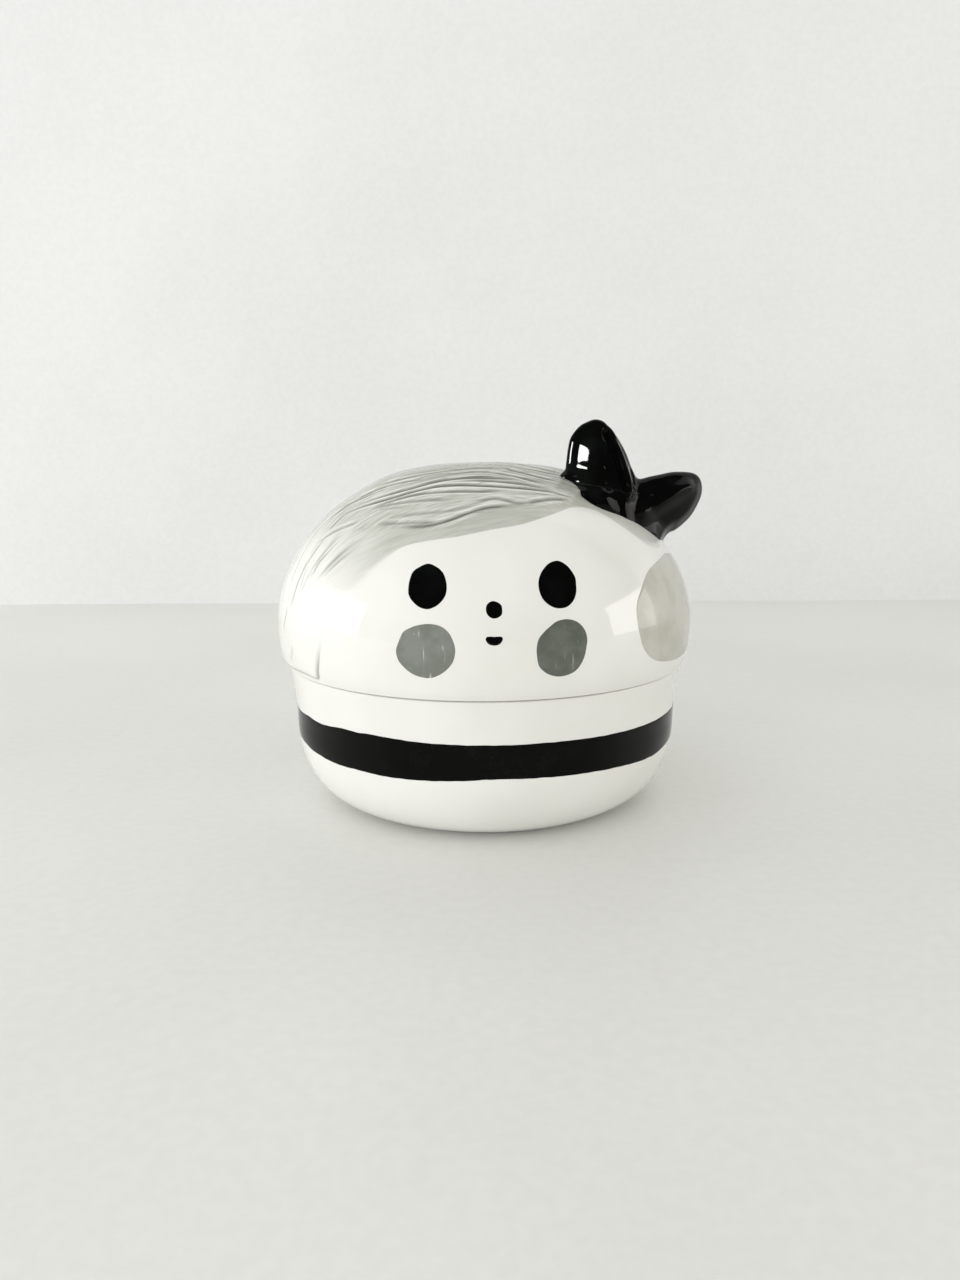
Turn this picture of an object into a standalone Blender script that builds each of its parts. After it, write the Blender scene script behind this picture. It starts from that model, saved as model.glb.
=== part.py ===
"""Round porcelain trinket box: a footed bowl and a domed lid shaped as a doll's head with swept hair and a bow.

Metres, +Z up. The foot stands on z = 0 with the axis of the box at x = y = 0. The face looks along -Y.
Azimuths are measured round the axis from -Y towards +X.
"""

import math
from collections import namedtuple

import bmesh
import bpy
import numpy as np
from mathutils import Matrix, Vector

# Bowl, below the seam where the lid rests
SEAM_RADIUS = 0.0500
SEAM_HEIGHT = 0.0352
WAIST_DRAW_IN = 0.00155
WAIST_DROP = 0.0139
FOOT_RADIUS = 0.03035
FOOT_POWER = 2.336
FLOOR = 0.0035

# Lid, above the seam
BELLY_SWELL = 0.00205
BELLY_RISE = 0.0109
CROWN_RISE = 0.0479
CHEEK_POWER = 2.571
CROWN_POWER = 1.738
LIP_POWER = 2.07

# Walls and fits
WALL = 0.0030
SEAM_GAP = 0.0003
EDGE_ROUND = 0.0007
FLANGE_DEPTH = 0.0040
FLANGE_WALL = 0.0022
FLANGE_CLEARANCE = 0.0006
SEAT_GAP = 0.0003

# Black band painted round the bowl, measured down from the seam
BAND_TOP_DROP = 0.00975
BAND_HEIGHT = 0.0084
GLAZE_MARK = 0.0003

# Face, on the lid: heights are measured along the surface from the lid's rim
FACE_TURN = math.radians(2.0)
EYE_SPREAD = math.radians(16.3)
EYE_RUN = 0.0253
EYE_HALF_WIDTH = 0.0043
EYE_HALF_HEIGHT = 0.0052
EYE_LEAN_SHARE = 0.15
NOSE_RUN = 0.0203
NOSE_HALF_WIDTH = 0.0018
MOUTH_RUN = 0.0148
MOUTH_HALF_WIDTH = 0.00195
MOUTH_DROP = 0.0020
MOUTH_TOP_SHARE = 0.15
CHEEK_SPREAD = math.radians(16.0)
CHEEK_RUN = 0.0116
CHEEK_HALF_WIDTH = 0.0062
CHEEK_HALF_HEIGHT = 0.0060
CHEEK_LEAN_SHARE = 0.08

# Hair: a modelled slab swept from the bow over the crown, with one flat lock at the side.
# The side lock's shares are of the crown's height above the seam.
HAIR_THICKNESS = 0.0012
HAIR_FOOT_RISE = 0.0021
STRAND_DEPTH_SHARE = 0.6
STRAND_COUNT = 20
SIDE_LOCK_AZIMUTH = math.radians(67.0)
SIDE_LOCK_HALF_SPREAD = math.radians(27.0)
SIDE_LOCK_MIDDLE_SHARE = 0.322
SIDE_LOCK_HALF_SHARE = 0.250
# Edge of the hair round the face and over the side lock: azimuth in degrees, height as a share of the crown's
HAIRLINE_SHARES = (
    (-47, 0.04), (-44, 0.18), (-36, 0.44), (-30, 0.56), (-25, 0.65), (-18, 0.685), (-8, 0.705),
    (2, 0.735), (11, 0.755), (20, 0.78), (27, 0.80), (33, 0.82), (45, 0.795), (51, 0.745),
    (58, 0.63), (64, 0.625), (71, 0.635), (96, 0.64),
)

# Bow, standing on the shoulder of the head: one leaf with a tall lobe and a side lobe.
# Its shares are of LOBE_REACH, measured along the bow, up from its middle and ahead towards the viewer.
BOW_AZIMUTH = math.radians(68.2)
BOW_REACH = 0.0360
BOW_TURN = math.radians(20.0)
BOW_MIDDLE_RISE = 0.0030
LOBE_REACH = 0.0200
# Rim of the leaf, from the tip of the side lobe over the tall lobe and back along its foot inside the head
BOW_RIM_SHARES = (
    (1.12, 0.07, -0.06), (1.065, 0.17, -0.05), (0.975, 0.22, -0.04), (0.83, 0.24, -0.02), (0.645, 0.24, 0.005),
    (0.465, 0.215, 0.035), (0.30, 0.19, 0.06), (0.20, 0.17, 0.075), (0.14, 0.17, 0.09), (0.09, 0.20, 0.095),
    (0.045, 0.285, 0.085), (0.02, 0.35, 0.07), (-0.02, 0.47, 0.045), (-0.08, 0.59, 0.02), (-0.155, 0.705, -0.005),
    (-0.23, 0.785, -0.02), (-0.29, 0.85, -0.04), (-0.375, 0.868, -0.06), (-0.46, 0.84, -0.09),
    (-0.55, 0.775, -0.12), (-0.64, 0.655, -0.145), (-0.675, 0.52, -0.15), (-0.705, 0.345, -0.135),
    (-0.735, 0.175, -0.09), (-0.77, 0.005, -0.01), (-0.675, -0.26, 0.09), (-0.47, -0.525, 0.17),
    (-0.19, -0.72, 0.20), (0.125, -0.77, 0.16), (0.415, -0.745, 0.04), (0.605, -0.57, -0.08),
    (0.685, -0.505, -0.10), (0.77, -0.475, -0.105), (0.87, -0.405, -0.095), (0.98, -0.295, -0.08),
    (1.065, -0.15, -0.07), (1.113, -0.04, -0.065),
)
BOW_MIDDLE_SHARE = 0.17
BOW_MIDDLE_POWER = 1.5
LOBE_EDGE_SHARE = 0.045
LOBE_EDGE_ROUND = 0.35
# Swelling of the leaf: its height, then the range over which it eases in
SWELL = (0.075, (0, 0.25))
LOW_SWELL = (0.08, (-0.75, 0.25))
FLANK_SWELL = (0.10, (0.045, 0.23))
BACK_SWELL = (0.04, (0, 0.30))
LOW_BACK_SWELL = 0.11
TALL_LOBE_RANGE = (-0.05, 0.20)
FLANK_ALONG_RANGE = (0.30, 0.50)
FLANK_UP_RANGE = (0.10, 0.35)
# Fold down the tall lobe and ridge along the side lobe: line from end to end, height, width
BOW_FOLD = (((-0.33, 0.77), (-0.15, 0.055)), -0.05, 0.05)
BOW_RIDGE = (((-0.08, -0.235), (0.93, 0.14)), 0.05, 0.065)
RIDGE_FALL_RANGE = (0.20, 0)
BOW_DISH = (-0.045, 0.21, 0.12)
DISH_ALONG_RANGE = (0.10, 0.35)
LINE_END_RANGE = (0, 0.15)

# Fineness of the turned and mapped surfaces
TURN_STEPS = 72
DENSE_POINTS = 600
OUTER_POINTS = 15
INNER_POINTS = 9
ROUND_POINTS = 3
HAIR_ROWS = 13
MARK_CELLS = 8
WINDOW_CELLS = 72
BOW_SEGMENTS = 72
BOW_RINGS = 24
MERGE_DISTANCE = 0.00001

# Finishes: base colour, roughness
PORCELAIN = ("white glazed porcelain", (0.86, 0.86, 0.84), 0.12)
BLACK_GLAZE = ("black glaze", (0.006, 0.006, 0.006), 0.08)
GREY_WASH = ("grey washed glaze", (0.50, 0.51, 0.46), 0.16)
PALE_WASH = ("pale washed glaze", (0.56, 0.55, 0.50), 0.14)
CHEEK_GLAZE = ("mid grey glaze", (0.25, 0.27, 0.25), 0.12)

Outline = namedtuple("Outline", "radius height run normal_radius normal_height")


def outline_of(radius, height):
    """Half outline with the distance run along it and its normals to the left of the way it runs."""
    step = np.hypot(np.diff(radius), np.diff(height))
    run = np.concatenate([[0], np.cumsum(step)])
    along_radius = np.gradient(radius, run)
    along_height = np.gradient(height, run)
    length = np.hypot(along_radius, along_height)
    if radius[-1] == 0:
        along_radius[-1] = -length[-1]
        along_height[-1] = 0
    return Outline(radius, height, run, along_height / length, -along_radius / length)


def at_run(outline, run, lift=0):
    """Radius and height at a distance run along the outline, lifted off it by its normal."""
    sample = [np.interp(run, outline.run, values) for values in outline]
    return sample[0] + lift * sample[3], sample[1] + lift * sample[4]


def run_at_height(outline, height):
    return np.interp(height, outline.height, outline.run)


def lid_outline():
    """The lid from its rim out to the belly and over to the crown, two quarter superellipses."""
    turn = np.linspace(0, math.pi / 2, DENSE_POINTS)
    belly = SEAM_RADIUS + BELLY_SWELL
    lip_radius = SEAM_RADIUS + BELLY_SWELL * np.sin(turn) ** (2 / LIP_POWER)
    lip_height = BELLY_RISE * (1 - np.cos(turn) ** (2 / LIP_POWER))
    dome_radius = belly * np.cos(turn) ** (2 / CHEEK_POWER)
    dome_height = BELLY_RISE + (CROWN_RISE - BELLY_RISE) * np.sin(turn) ** (2 / CROWN_POWER)
    dome_radius[-1] = 0
    radius = np.concatenate([lip_radius, dome_radius[1:]])
    height = SEAM_HEIGHT + np.concatenate([lip_height, dome_height[1:]])
    return outline_of(radius, height)


def bowl_outline():
    """The bowl from the edge of its foot out and up to the seam: a quarter superellipse, then straight."""
    turn = np.linspace(math.pi / 2, 0, DENSE_POINTS)
    waist = SEAM_RADIUS - WAIST_DRAW_IN
    waist_height = SEAM_HEIGHT - WAIST_DROP
    curve_radius = FOOT_RADIUS + (waist - FOOT_RADIUS) * np.cos(turn) ** (2 / FOOT_POWER)
    curve_height = waist_height * (1 - np.sin(turn) ** (2 / FOOT_POWER))
    rise = np.linspace(0, 1, DENSE_POINTS)[1:]
    radius = np.concatenate([curve_radius, waist + WAIST_DRAW_IN * rise])
    height = np.concatenate([curve_height, waist_height + WAIST_DROP * rise])
    return outline_of(radius, height)


LID = lid_outline()
BOWL = bowl_outline()


def on_lid(azimuth, run, lift):
    """Point in space over the lid's outer surface."""
    radius, height = at_run(LID, run, lift)
    return Vector((radius * math.sin(azimuth), -radius * math.cos(azimuth), height))


def glaze(finish):
    name, colour, roughness = finish
    material = bpy.data.materials.get(name)
    if material is None:
        material = bpy.data.materials.new(name)
        material.use_nodes = True
        shader = material.node_tree.nodes["Principled BSDF"]
        shader.inputs["Base Color"].default_value = (*colour, 1)
        shader.inputs["Roughness"].default_value = roughness
        shader.inputs["Metallic"].default_value = 0
        material.diffuse_color = (*colour, 1)
    return material


def add_piece(name, mesh, finish, collection):
    piece = bpy.data.objects.new(name, mesh)
    collection.objects.link(piece)
    mesh.materials.append(glaze(finish))
    mesh.shade_smooth()
    mesh.set_sharp_from_angle(angle=math.radians(40))
    return piece


def add_cutter(name, mesh, collection):
    cutter = bpy.data.objects.new(name, mesh)
    collection.objects.link(cutter)
    cutter.hide_render = True
    cutter.display_type = "WIRE"
    return cutter


def profile_mesh(name, points, closed):
    """Edges joining (radius, height) points in the plane of +X and Z, for a Screw modifier."""
    mesh = bpy.data.meshes.new(name)
    edges = [(i, i + 1) for i in range(len(points) - 1)]
    if closed:
        edges.append((len(points) - 1, 0))
    mesh.from_pydata([(radius, 0, height) for radius, height in points], edges, [])
    return mesh


def turn_on_axis(piece):
    screw = piece.modifiers.new("turned", "SCREW")
    screw.axis = "Z"
    screw.steps = TURN_STEPS
    screw.render_steps = TURN_STEPS
    screw.use_merge_vertices = True
    screw.merge_threshold = MERGE_DISTANCE
    screw.use_smooth_shade = True


def corner(centre_radius, centre_height, start_degrees, end_degrees):
    """Quarter round of EDGE_ROUND about a centre, its ends included."""
    points = []
    for step in range(ROUND_POINTS):
        angle = math.radians(start_degrees + (end_degrees - start_degrees) * step / (ROUND_POINTS - 1))
        radius = centre_radius + EDGE_ROUND * math.cos(angle)
        points.append((radius, centre_height + EDGE_ROUND * math.sin(angle)))
    return points


def run_points(outline, start, end, count, lift=0):
    return [at_run(outline, run, lift) for run in np.linspace(start, end, count)]


def make_bowl(collection):
    """Shell from the middle of its floor up the inside, over the rim and down the outside to the foot."""
    rim = SEAM_HEIGHT - SEAM_GAP / 2
    inner_start = run_at_height(BOWL, 0)
    rim_run = run_at_height(BOWL, rim - EDGE_ROUND)
    inside = run_points(BOWL, inner_start, rim_run, INNER_POINTS, -WALL)
    inside = [point for point in inside if point[1] > FLOOR and point[1] < rim - EDGE_ROUND]
    inner_rim_radius = at_run(BOWL, rim_run, -WALL)[0]
    outer_rim_radius = at_run(BOWL, rim_run)[0]
    rim_centre = rim - EDGE_ROUND
    over = corner(inner_rim_radius + EDGE_ROUND, rim_centre, 180, 90)
    over += corner(outer_rim_radius - EDGE_ROUND, rim_centre, 90, 0)
    outside = run_points(BOWL, rim_run, inner_start, OUTER_POINTS)[1:]
    floor_edge = inside[0][0] - (inside[0][1] - FLOOR)
    points = [(0, FLOOR), (floor_edge, FLOOR)] + inside + over + outside + [(0, 0)]
    piece = add_piece("base_bowl", profile_mesh("base_bowl", points, False), PORCELAIN, collection)
    turn_on_axis(piece)
    return piece


def make_lid(collection):
    """Shell from the crown down the outside to the rim, round the flange that drops into the bowl, and up."""
    rim = SEAM_HEIGHT + SEAM_GAP / 2
    flange_foot = SEAM_HEIGHT - FLANGE_DEPTH
    flange_outer = SEAM_RADIUS - WALL - FLANGE_CLEARANCE
    flange_inner = flange_outer - FLANGE_WALL
    rim_run = run_at_height(LID, rim + EDGE_ROUND)
    outside = run_points(LID, LID.run[-1], rim_run, OUTER_POINTS + INNER_POINTS // 2)
    lip_radius = at_run(LID, rim_run)[0] - EDGE_ROUND
    lip = corner(lip_radius, rim + EDGE_ROUND, 0, -90)[1:]
    neck = [(flange_outer, rim)]
    foot = corner(flange_outer - EDGE_ROUND, flange_foot + EDGE_ROUND, 0, -90)
    foot += corner(flange_inner + EDGE_ROUND, flange_foot + EDGE_ROUND, -90, -180)
    wall_run = run_at_height(LID, rim + WALL)
    inside = run_points(LID, wall_run, LID.run[-1], INNER_POINTS + 2, -WALL)
    inside[0] = (flange_inner, inside[0][1])
    inside[-1] = (0, SEAM_HEIGHT + CROWN_RISE - WALL)
    points = outside + lip + neck + foot + inside
    piece = add_piece("lid_shell", profile_mesh("lid_shell", points, False), PORCELAIN, collection)
    turn_on_axis(piece)
    return piece


def make_band(collection):
    """Ring of black glaze round the upper part of the bowl."""
    top = run_at_height(BOWL, SEAM_HEIGHT - BAND_TOP_DROP)
    foot = run_at_height(BOWL, SEAM_HEIGHT - BAND_TOP_DROP - BAND_HEIGHT)
    outside = run_points(BOWL, top, foot, ROUND_POINTS, SEAT_GAP + GLAZE_MARK)
    inside = run_points(BOWL, foot, top, ROUND_POINTS, SEAT_GAP)
    piece = add_piece("black_band", profile_mesh("black_band", outside + inside, True), BLACK_GLAZE, collection)
    turn_on_axis(piece)
    return piece


def mapped_grid(name, columns, rows, place):
    """Mesh of a unit grid with each point moved to place(x, y), both from -1 to 1."""
    shape = bmesh.new()
    bmesh.ops.create_grid(shape, x_segments=columns, y_segments=rows, size=1)
    for vertex in shape.verts:
        vertex.co = place(vertex.co.x, vertex.co.y)
    bmesh.ops.remove_doubles(shape, verts=shape.verts, dist=MERGE_DISTANCE)
    mesh = bpy.data.meshes.new(name)
    shape.to_mesh(mesh)
    shape.free()
    return mesh


def thicken(piece, thickness):
    wall = piece.modifiers.new("coat", "SOLIDIFY")
    wall.thickness = thickness
    wall.offset = 1
    return wall


def make_mark(name, azimuth, run, half_width, half_height, finish, collection, flat_top=1, lean=0):
    """Oval coat of glaze on the lid: a square grid drawn to a disc, then laid over the surface."""

    def place(x, y):
        across = half_width * x * math.sqrt(1 - y * y / 2)
        up = half_height * y * math.sqrt(1 - x * x / 2)
        if up > 0:
            up *= flat_top
        there = run + up
        radius = at_run(LID, there)[0]
        return on_lid(azimuth + (across + lean * up) / radius, there, SEAT_GAP)

    mesh = mapped_grid(name, MARK_CELLS, MARK_CELLS, place)
    piece = add_piece(name, mesh, finish, collection)
    thicken(piece, GLAZE_MARK)
    return piece


def make_face(collection):
    eye = (EYE_RUN, EYE_HALF_WIDTH, EYE_HALF_HEIGHT, BLACK_GLAZE, collection)
    cheek = (CHEEK_RUN, CHEEK_HALF_WIDTH, CHEEK_HALF_HEIGHT, CHEEK_GLAZE, collection)
    return [
        make_mark("eye_left", FACE_TURN - EYE_SPREAD, *eye, lean=-EYE_LEAN_SHARE),
        make_mark("eye_right", FACE_TURN + EYE_SPREAD, *eye, lean=EYE_LEAN_SHARE),
        make_mark("nose", FACE_TURN, NOSE_RUN, NOSE_HALF_WIDTH, NOSE_HALF_WIDTH, BLACK_GLAZE, collection),
        make_mark("mouth", FACE_TURN, MOUTH_RUN, MOUTH_HALF_WIDTH, MOUTH_DROP, BLACK_GLAZE, collection,
                  flat_top=MOUTH_TOP_SHARE),
        make_mark("cheek_left", FACE_TURN - CHEEK_SPREAD, *cheek, lean=-CHEEK_LEAN_SHARE),
        make_mark("cheek_right", FACE_TURN + CHEEK_SPREAD, *cheek, lean=CHEEK_LEAN_SHARE),
    ]


def face_window(cutters):
    """Cutter for the face's opening in the hair, its upper edge along the hairline."""
    degrees, shares = zip(*HAIRLINE_SHARES)
    low = SEAM_HEIGHT + BELLY_RISE * shares[0]

    def place(x, y):
        azimuth = degrees[0] + (degrees[-1] - degrees[0]) * (1 + x) / 2
        high = SEAM_HEIGHT + CROWN_RISE * np.interp(azimuth, degrees, shares)
        run = run_at_height(LID, low + (high - low) * (1 + y) / 2)
        return on_lid(math.radians(azimuth), run, -WALL / 2)

    window = add_cutter("face_window", mapped_grid("face_window", WINDOW_CELLS, WINDOW_CELLS, place), cutters)
    thicken(window, WALL * 2)
    return window


def parting():
    """Where the strands start, at the foot of the bow, with two directions in the surface there."""
    run = np.interp(-BOW_REACH, -LID.radius, LID.run)
    start = on_lid(BOW_AZIMUTH, run, 0)
    ahead = (on_lid(BOW_AZIMUTH, run + SEAT_GAP, 0) - start).normalized()
    across = ahead.cross(start - on_lid(BOW_AZIMUTH, run, -WALL)).normalized()
    return start, ahead, across


def make_hair(collection, cutters):
    """Slab over the crown, back and left side, thinner along the grooves that fan out from the bow."""
    start, ahead, across = parting()
    crown = LID.run[-1]
    foot = run_at_height(LID, SEAM_HEIGHT + HAIR_FOOT_RISE)

    def place(x, y):
        return on_lid(math.pi * x, foot + (crown - foot) * (1 + y) / 2, SEAT_GAP)

    mesh = mapped_grid("hair", TURN_STEPS, HAIR_ROWS, place)
    piece = add_piece("hair", mesh, GREY_WASH, collection)
    strands = piece.vertex_groups.new(name="strands")
    for vertex in mesh.vertices:
        away = vertex.co - start
        heading = math.atan2(away.dot(across), away.dot(ahead))
        ridge = (1 + math.cos(STRAND_COUNT * heading)) / 2
        strands.add([vertex.index], 1 - STRAND_DEPTH_SHARE * ridge, "REPLACE")
    slab = thicken(piece, HAIR_THICKNESS)
    slab.vertex_group = strands.name
    cut = piece.modifiers.new("face", "BOOLEAN")
    cut.operation = "DIFFERENCE"
    cut.object = face_window(cutters)
    return piece


def make_side_lock(collection):
    """Flat oval lock of hair beside the right cheek, in the hair's opening."""
    middle = SEAM_HEIGHT + CROWN_RISE * SIDE_LOCK_MIDDLE_SHARE
    half_height = CROWN_RISE * SIDE_LOCK_HALF_SHARE

    def place(x, y):
        azimuth = SIDE_LOCK_AZIMUTH + SIDE_LOCK_HALF_SPREAD * x * math.sqrt(1 - y * y / 2)
        height = middle + half_height * y * math.sqrt(1 - x * x / 2)
        return on_lid(azimuth, run_at_height(LID, height), SEAT_GAP)

    mesh = mapped_grid("side_lock", MARK_CELLS * 2, MARK_CELLS * 2, place)
    piece = add_piece("side_lock", mesh, PALE_WASH, collection)
    thicken(piece, GLAZE_MARK)
    return piece


def bow_frame():
    """Bow's own axes: x along the bow, y to its back, z up, with its origin on the head under the knot."""
    seat_run = np.interp(-BOW_REACH, -LID.radius, LID.run)
    seat = on_lid(BOW_AZIMUTH, seat_run, 0)
    return Matrix.Translation(seat) @ Matrix.Rotation(BOW_TURN, 4, "Z")


def ease(value, span):
    """0 at one end of the span and 1 at the other, easing in and out between them."""
    start, end = span
    way = min(max((value - start) / (end - start), 0), 1)
    return way * way * (3 - 2 * way)


def beside(along, up, line):
    """How far a point lies above a line across the bow, and how strongly the line is there, fading at its ends."""
    (start_along, start_up), (end_along, end_up) = line
    reach_along = end_along - start_along
    reach_up = end_up - start_up
    length = math.hypot(reach_along, reach_up)
    from_start = ((along - start_along) * reach_along + (up - start_up) * reach_up) / length
    above = ((up - start_up) * reach_along - (along - start_along) * reach_up) / length
    share = from_start / length
    return above, ease(min(share, 1 - share), LINE_END_RANGE)


def bow_front(along, up, from_rim):
    """How far the leaf's front stands ahead of its middle surface, as a share of the lobes' reach."""
    tall = ease(-along, TALL_LOBE_RANGE)
    low = ease(-up, LOW_SWELL[1])
    swell = (SWELL[0] + LOW_SWELL[0] * low * tall) * ease(from_rim, SWELL[1])
    flank = ease(-along, FLANK_ALONG_RANGE) * ease(up, FLANK_UP_RANGE)
    swell += FLANK_SWELL[0] * flank * ease(from_rim, FLANK_SWELL[1])
    line, depth, width = BOW_FOLD
    above, strength = beside(along, up, line)
    swell += depth * strength * math.exp(-(above / width) ** 2)
    line, depth, width = BOW_RIDGE
    above, strength = beside(along, up, line)
    if above < 0:
        swell += depth * strength * ease(-above, RIDGE_FALL_RANGE)
    else:
        swell += depth * strength * math.exp(-(above / width) ** 2)
    depth, drop, width = BOW_DISH
    dish = ease(along, DISH_ALONG_RANGE) * ease(from_rim, FLANK_SWELL[1])
    return swell + depth * dish * math.exp(-((above - drop) / width) ** 2)


def bow_mesh():
    """Leaf made from a sphere with its poles turned to the front and back and its equator drawn out to the rim."""
    rim_along, rim_up, rim_ahead = np.array(BOW_RIM_SHARES).T
    rim_turn = np.arctan2(rim_up, rim_along)
    rim_reach = np.hypot(rim_up, rim_along)
    shape = bmesh.new()
    bmesh.ops.create_uvsphere(shape, u_segments=BOW_SEGMENTS, v_segments=BOW_RINGS, radius=1)
    for vertex in shape.verts:
        x, y, z = vertex.co
        turn = math.atan2(y, x)
        share = min(math.hypot(x, y), 1)
        reach = np.interp(turn, rim_turn, rim_reach, period=2 * math.pi)
        ahead = np.interp(turn, rim_turn, rim_ahead, period=2 * math.pi)
        along = reach * share * math.cos(turn)
        up = reach * share * math.sin(turn)
        from_rim = reach * (1 - share)
        middle = BOW_MIDDLE_SHARE + (ahead - BOW_MIDDLE_SHARE) * share ** BOW_MIDDLE_POWER
        edge = LOBE_EDGE_SHARE * min(abs(z) / LOBE_EDGE_ROUND, 1)
        if z > 0:
            depth = middle + edge + bow_front(along, up, from_rim)
        else:
            low = ease(-up, LOW_SWELL[1])
            depth = middle - edge - (BACK_SWELL[0] + LOW_BACK_SWELL * low) * ease(from_rim, BACK_SWELL[1])
        vertex.co = Vector((along, -depth, up)) * LOBE_REACH
    mesh = bpy.data.meshes.new("hair_bow")
    shape.to_mesh(mesh)
    shape.free()
    return mesh


def make_bow(collection, cutters):
    """The leaf with its two lobes, cut to sit on the hair."""
    piece = add_piece("hair_bow", bow_mesh(), BLACK_GLAZE, collection)
    piece.matrix_world = bow_frame() @ Matrix.Translation((0, 0, BOW_MIDDLE_RISE))
    lift = SEAT_GAP + HAIR_THICKNESS + SEAT_GAP
    dome = run_points(LID, LID.run[-1], 0, OUTER_POINTS * 2, lift)
    dome[0] = (0, SEAM_HEIGHT + CROWN_RISE + lift)
    dome.append((0, SEAM_HEIGHT))
    head = add_cutter("head_shape", profile_mesh("head_shape", dome, False), cutters)
    turn_on_axis(head)
    cut = piece.modifiers.new("seat", "BOOLEAN")
    cut.operation = "DIFFERENCE"
    cut.object = head
    return piece


def main():
    for item in list(bpy.data.objects):
        bpy.data.objects.remove(item)
    scene = bpy.context.scene
    pieces = bpy.data.collections.new("trinket box")
    cutters = bpy.data.collections.new("cutters")
    scene.collection.children.link(pieces)
    scene.collection.children.link(cutters)
    bowl = make_bowl(pieces)
    make_band(pieces).parent = bowl
    lid_axis = bpy.data.objects.new("lid_axis", None)
    pieces.objects.link(lid_axis)
    lid = make_lid(pieces)
    lid.parent = lid_axis
    for piece in [make_hair(pieces, cutters), make_side_lock(pieces), *make_face(pieces)]:
        piece.parent = lid_axis
    make_bow(pieces, cutters).parent = lid_axis


main()
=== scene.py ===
"""Looks of a round porcelain trinket box: a banded bowl and a doll's-head lid with swept hair and a bow.

Surfaces are computed in millimetres and written to their meshes in metres. Azimuths are in degrees
round the box's axis, from -Y, where the face looks, towards +X. A place on the lid is an azimuth and a run,
the distance in mm up the lid's outline from its rim.
"""

import math

import bmesh
import bpy
import numpy as np
from mathutils import Matrix, Vector


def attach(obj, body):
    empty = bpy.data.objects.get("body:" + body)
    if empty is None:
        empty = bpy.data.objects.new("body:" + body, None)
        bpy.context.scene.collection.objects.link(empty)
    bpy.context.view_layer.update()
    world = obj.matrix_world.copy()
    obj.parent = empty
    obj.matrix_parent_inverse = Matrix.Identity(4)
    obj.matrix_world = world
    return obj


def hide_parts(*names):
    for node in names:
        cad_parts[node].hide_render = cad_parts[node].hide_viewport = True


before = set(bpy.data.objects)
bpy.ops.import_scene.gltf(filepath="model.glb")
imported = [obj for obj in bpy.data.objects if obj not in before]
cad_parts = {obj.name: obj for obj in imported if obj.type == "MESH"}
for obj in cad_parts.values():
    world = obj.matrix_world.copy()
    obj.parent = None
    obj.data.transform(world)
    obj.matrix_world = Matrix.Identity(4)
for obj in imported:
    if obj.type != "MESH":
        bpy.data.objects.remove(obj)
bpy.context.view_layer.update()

# The bowl. White porcelain, slip-cast and clear glazed: a bare foot ring, a round belly that rises almost
# upright and opens a little to the seam, and a bare rounded rim. One outline from the middle of the foot up
# the outside, over the rim and down the inside, swept round the axis with a cast wall's slow swells.


def linear(code):
    """Linear colour of an sRGB hex code: c / 12.92 below 0.04, else (c + 0.055) / 1.055 to the power 2.4."""
    parts = [int(code[i:i + 2], 16) / 255 for i in (0, 2, 4)]
    return [c / 12.92 if c < 0.04 else ((c + 0.055) / 1.055) ** 2.4 for c in parts] + [1.0]


def fill(tree, node, inputs):
    """Link the inputs of a node that come as sockets, and set those that come as plain values."""
    for key, value in inputs.items():
        if isinstance(value, bpy.types.NodeSocket):
            tree.links.new(value, node.inputs[key])
        else:
            node.inputs[key].default_value = value


def add_node(tree, kind, inputs=None, output=0, **settings):
    """Add one shader node with its settings and inputs, and give back the output asked for."""
    node = tree.nodes.new(kind)
    for name, value in settings.items():
        setattr(node, name, value)
    fill(tree, node, inputs or {})
    return node.outputs[output]


def new_finish(name):
    """A new material, with its tree, its shader and the coordinates of the object that wears it."""
    material = bpy.data.materials.new(name)
    material.use_nodes = True
    tree = material.node_tree
    place = add_node(tree, "ShaderNodeTexCoord", output="Object")
    return material, tree, tree.nodes["Principled BSDF"], place


def clouds(tree, place, wave_mm, detail, low, high, faint=0.0, full=1.0):
    """Cloudy pattern: noise whose largest waves are wave_mm long, carried smoothly from the range low to high
    into the range faint to full, and held beyond it."""
    inputs = {"Vector": place, "Scale": 1000 / wave_mm, "Detail": detail}
    waves = add_node(tree, "ShaderNodeTexNoise", inputs)
    return add_node(tree, "ShaderNodeMapRange", {0: waves, 1: low, 2: high, 3: faint, 4: full},
                    interpolation_type="SMOOTHSTEP")


def glaze_bump(tree, place, depth_mm, wave_mm):
    """Normal of a glaze that keeps a faint orange peel depth_mm deep in waves wave_mm long."""
    inputs = {"Vector": place, "Scale": 1000 / wave_mm, "Detail": 1.0}
    height = add_node(tree, "ShaderNodeTexNoise", inputs)
    inputs = {"Height": height, "Strength": 1.0, "Distance": depth_mm / 1000}
    return add_node(tree, "ShaderNodeBump", inputs)


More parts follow.
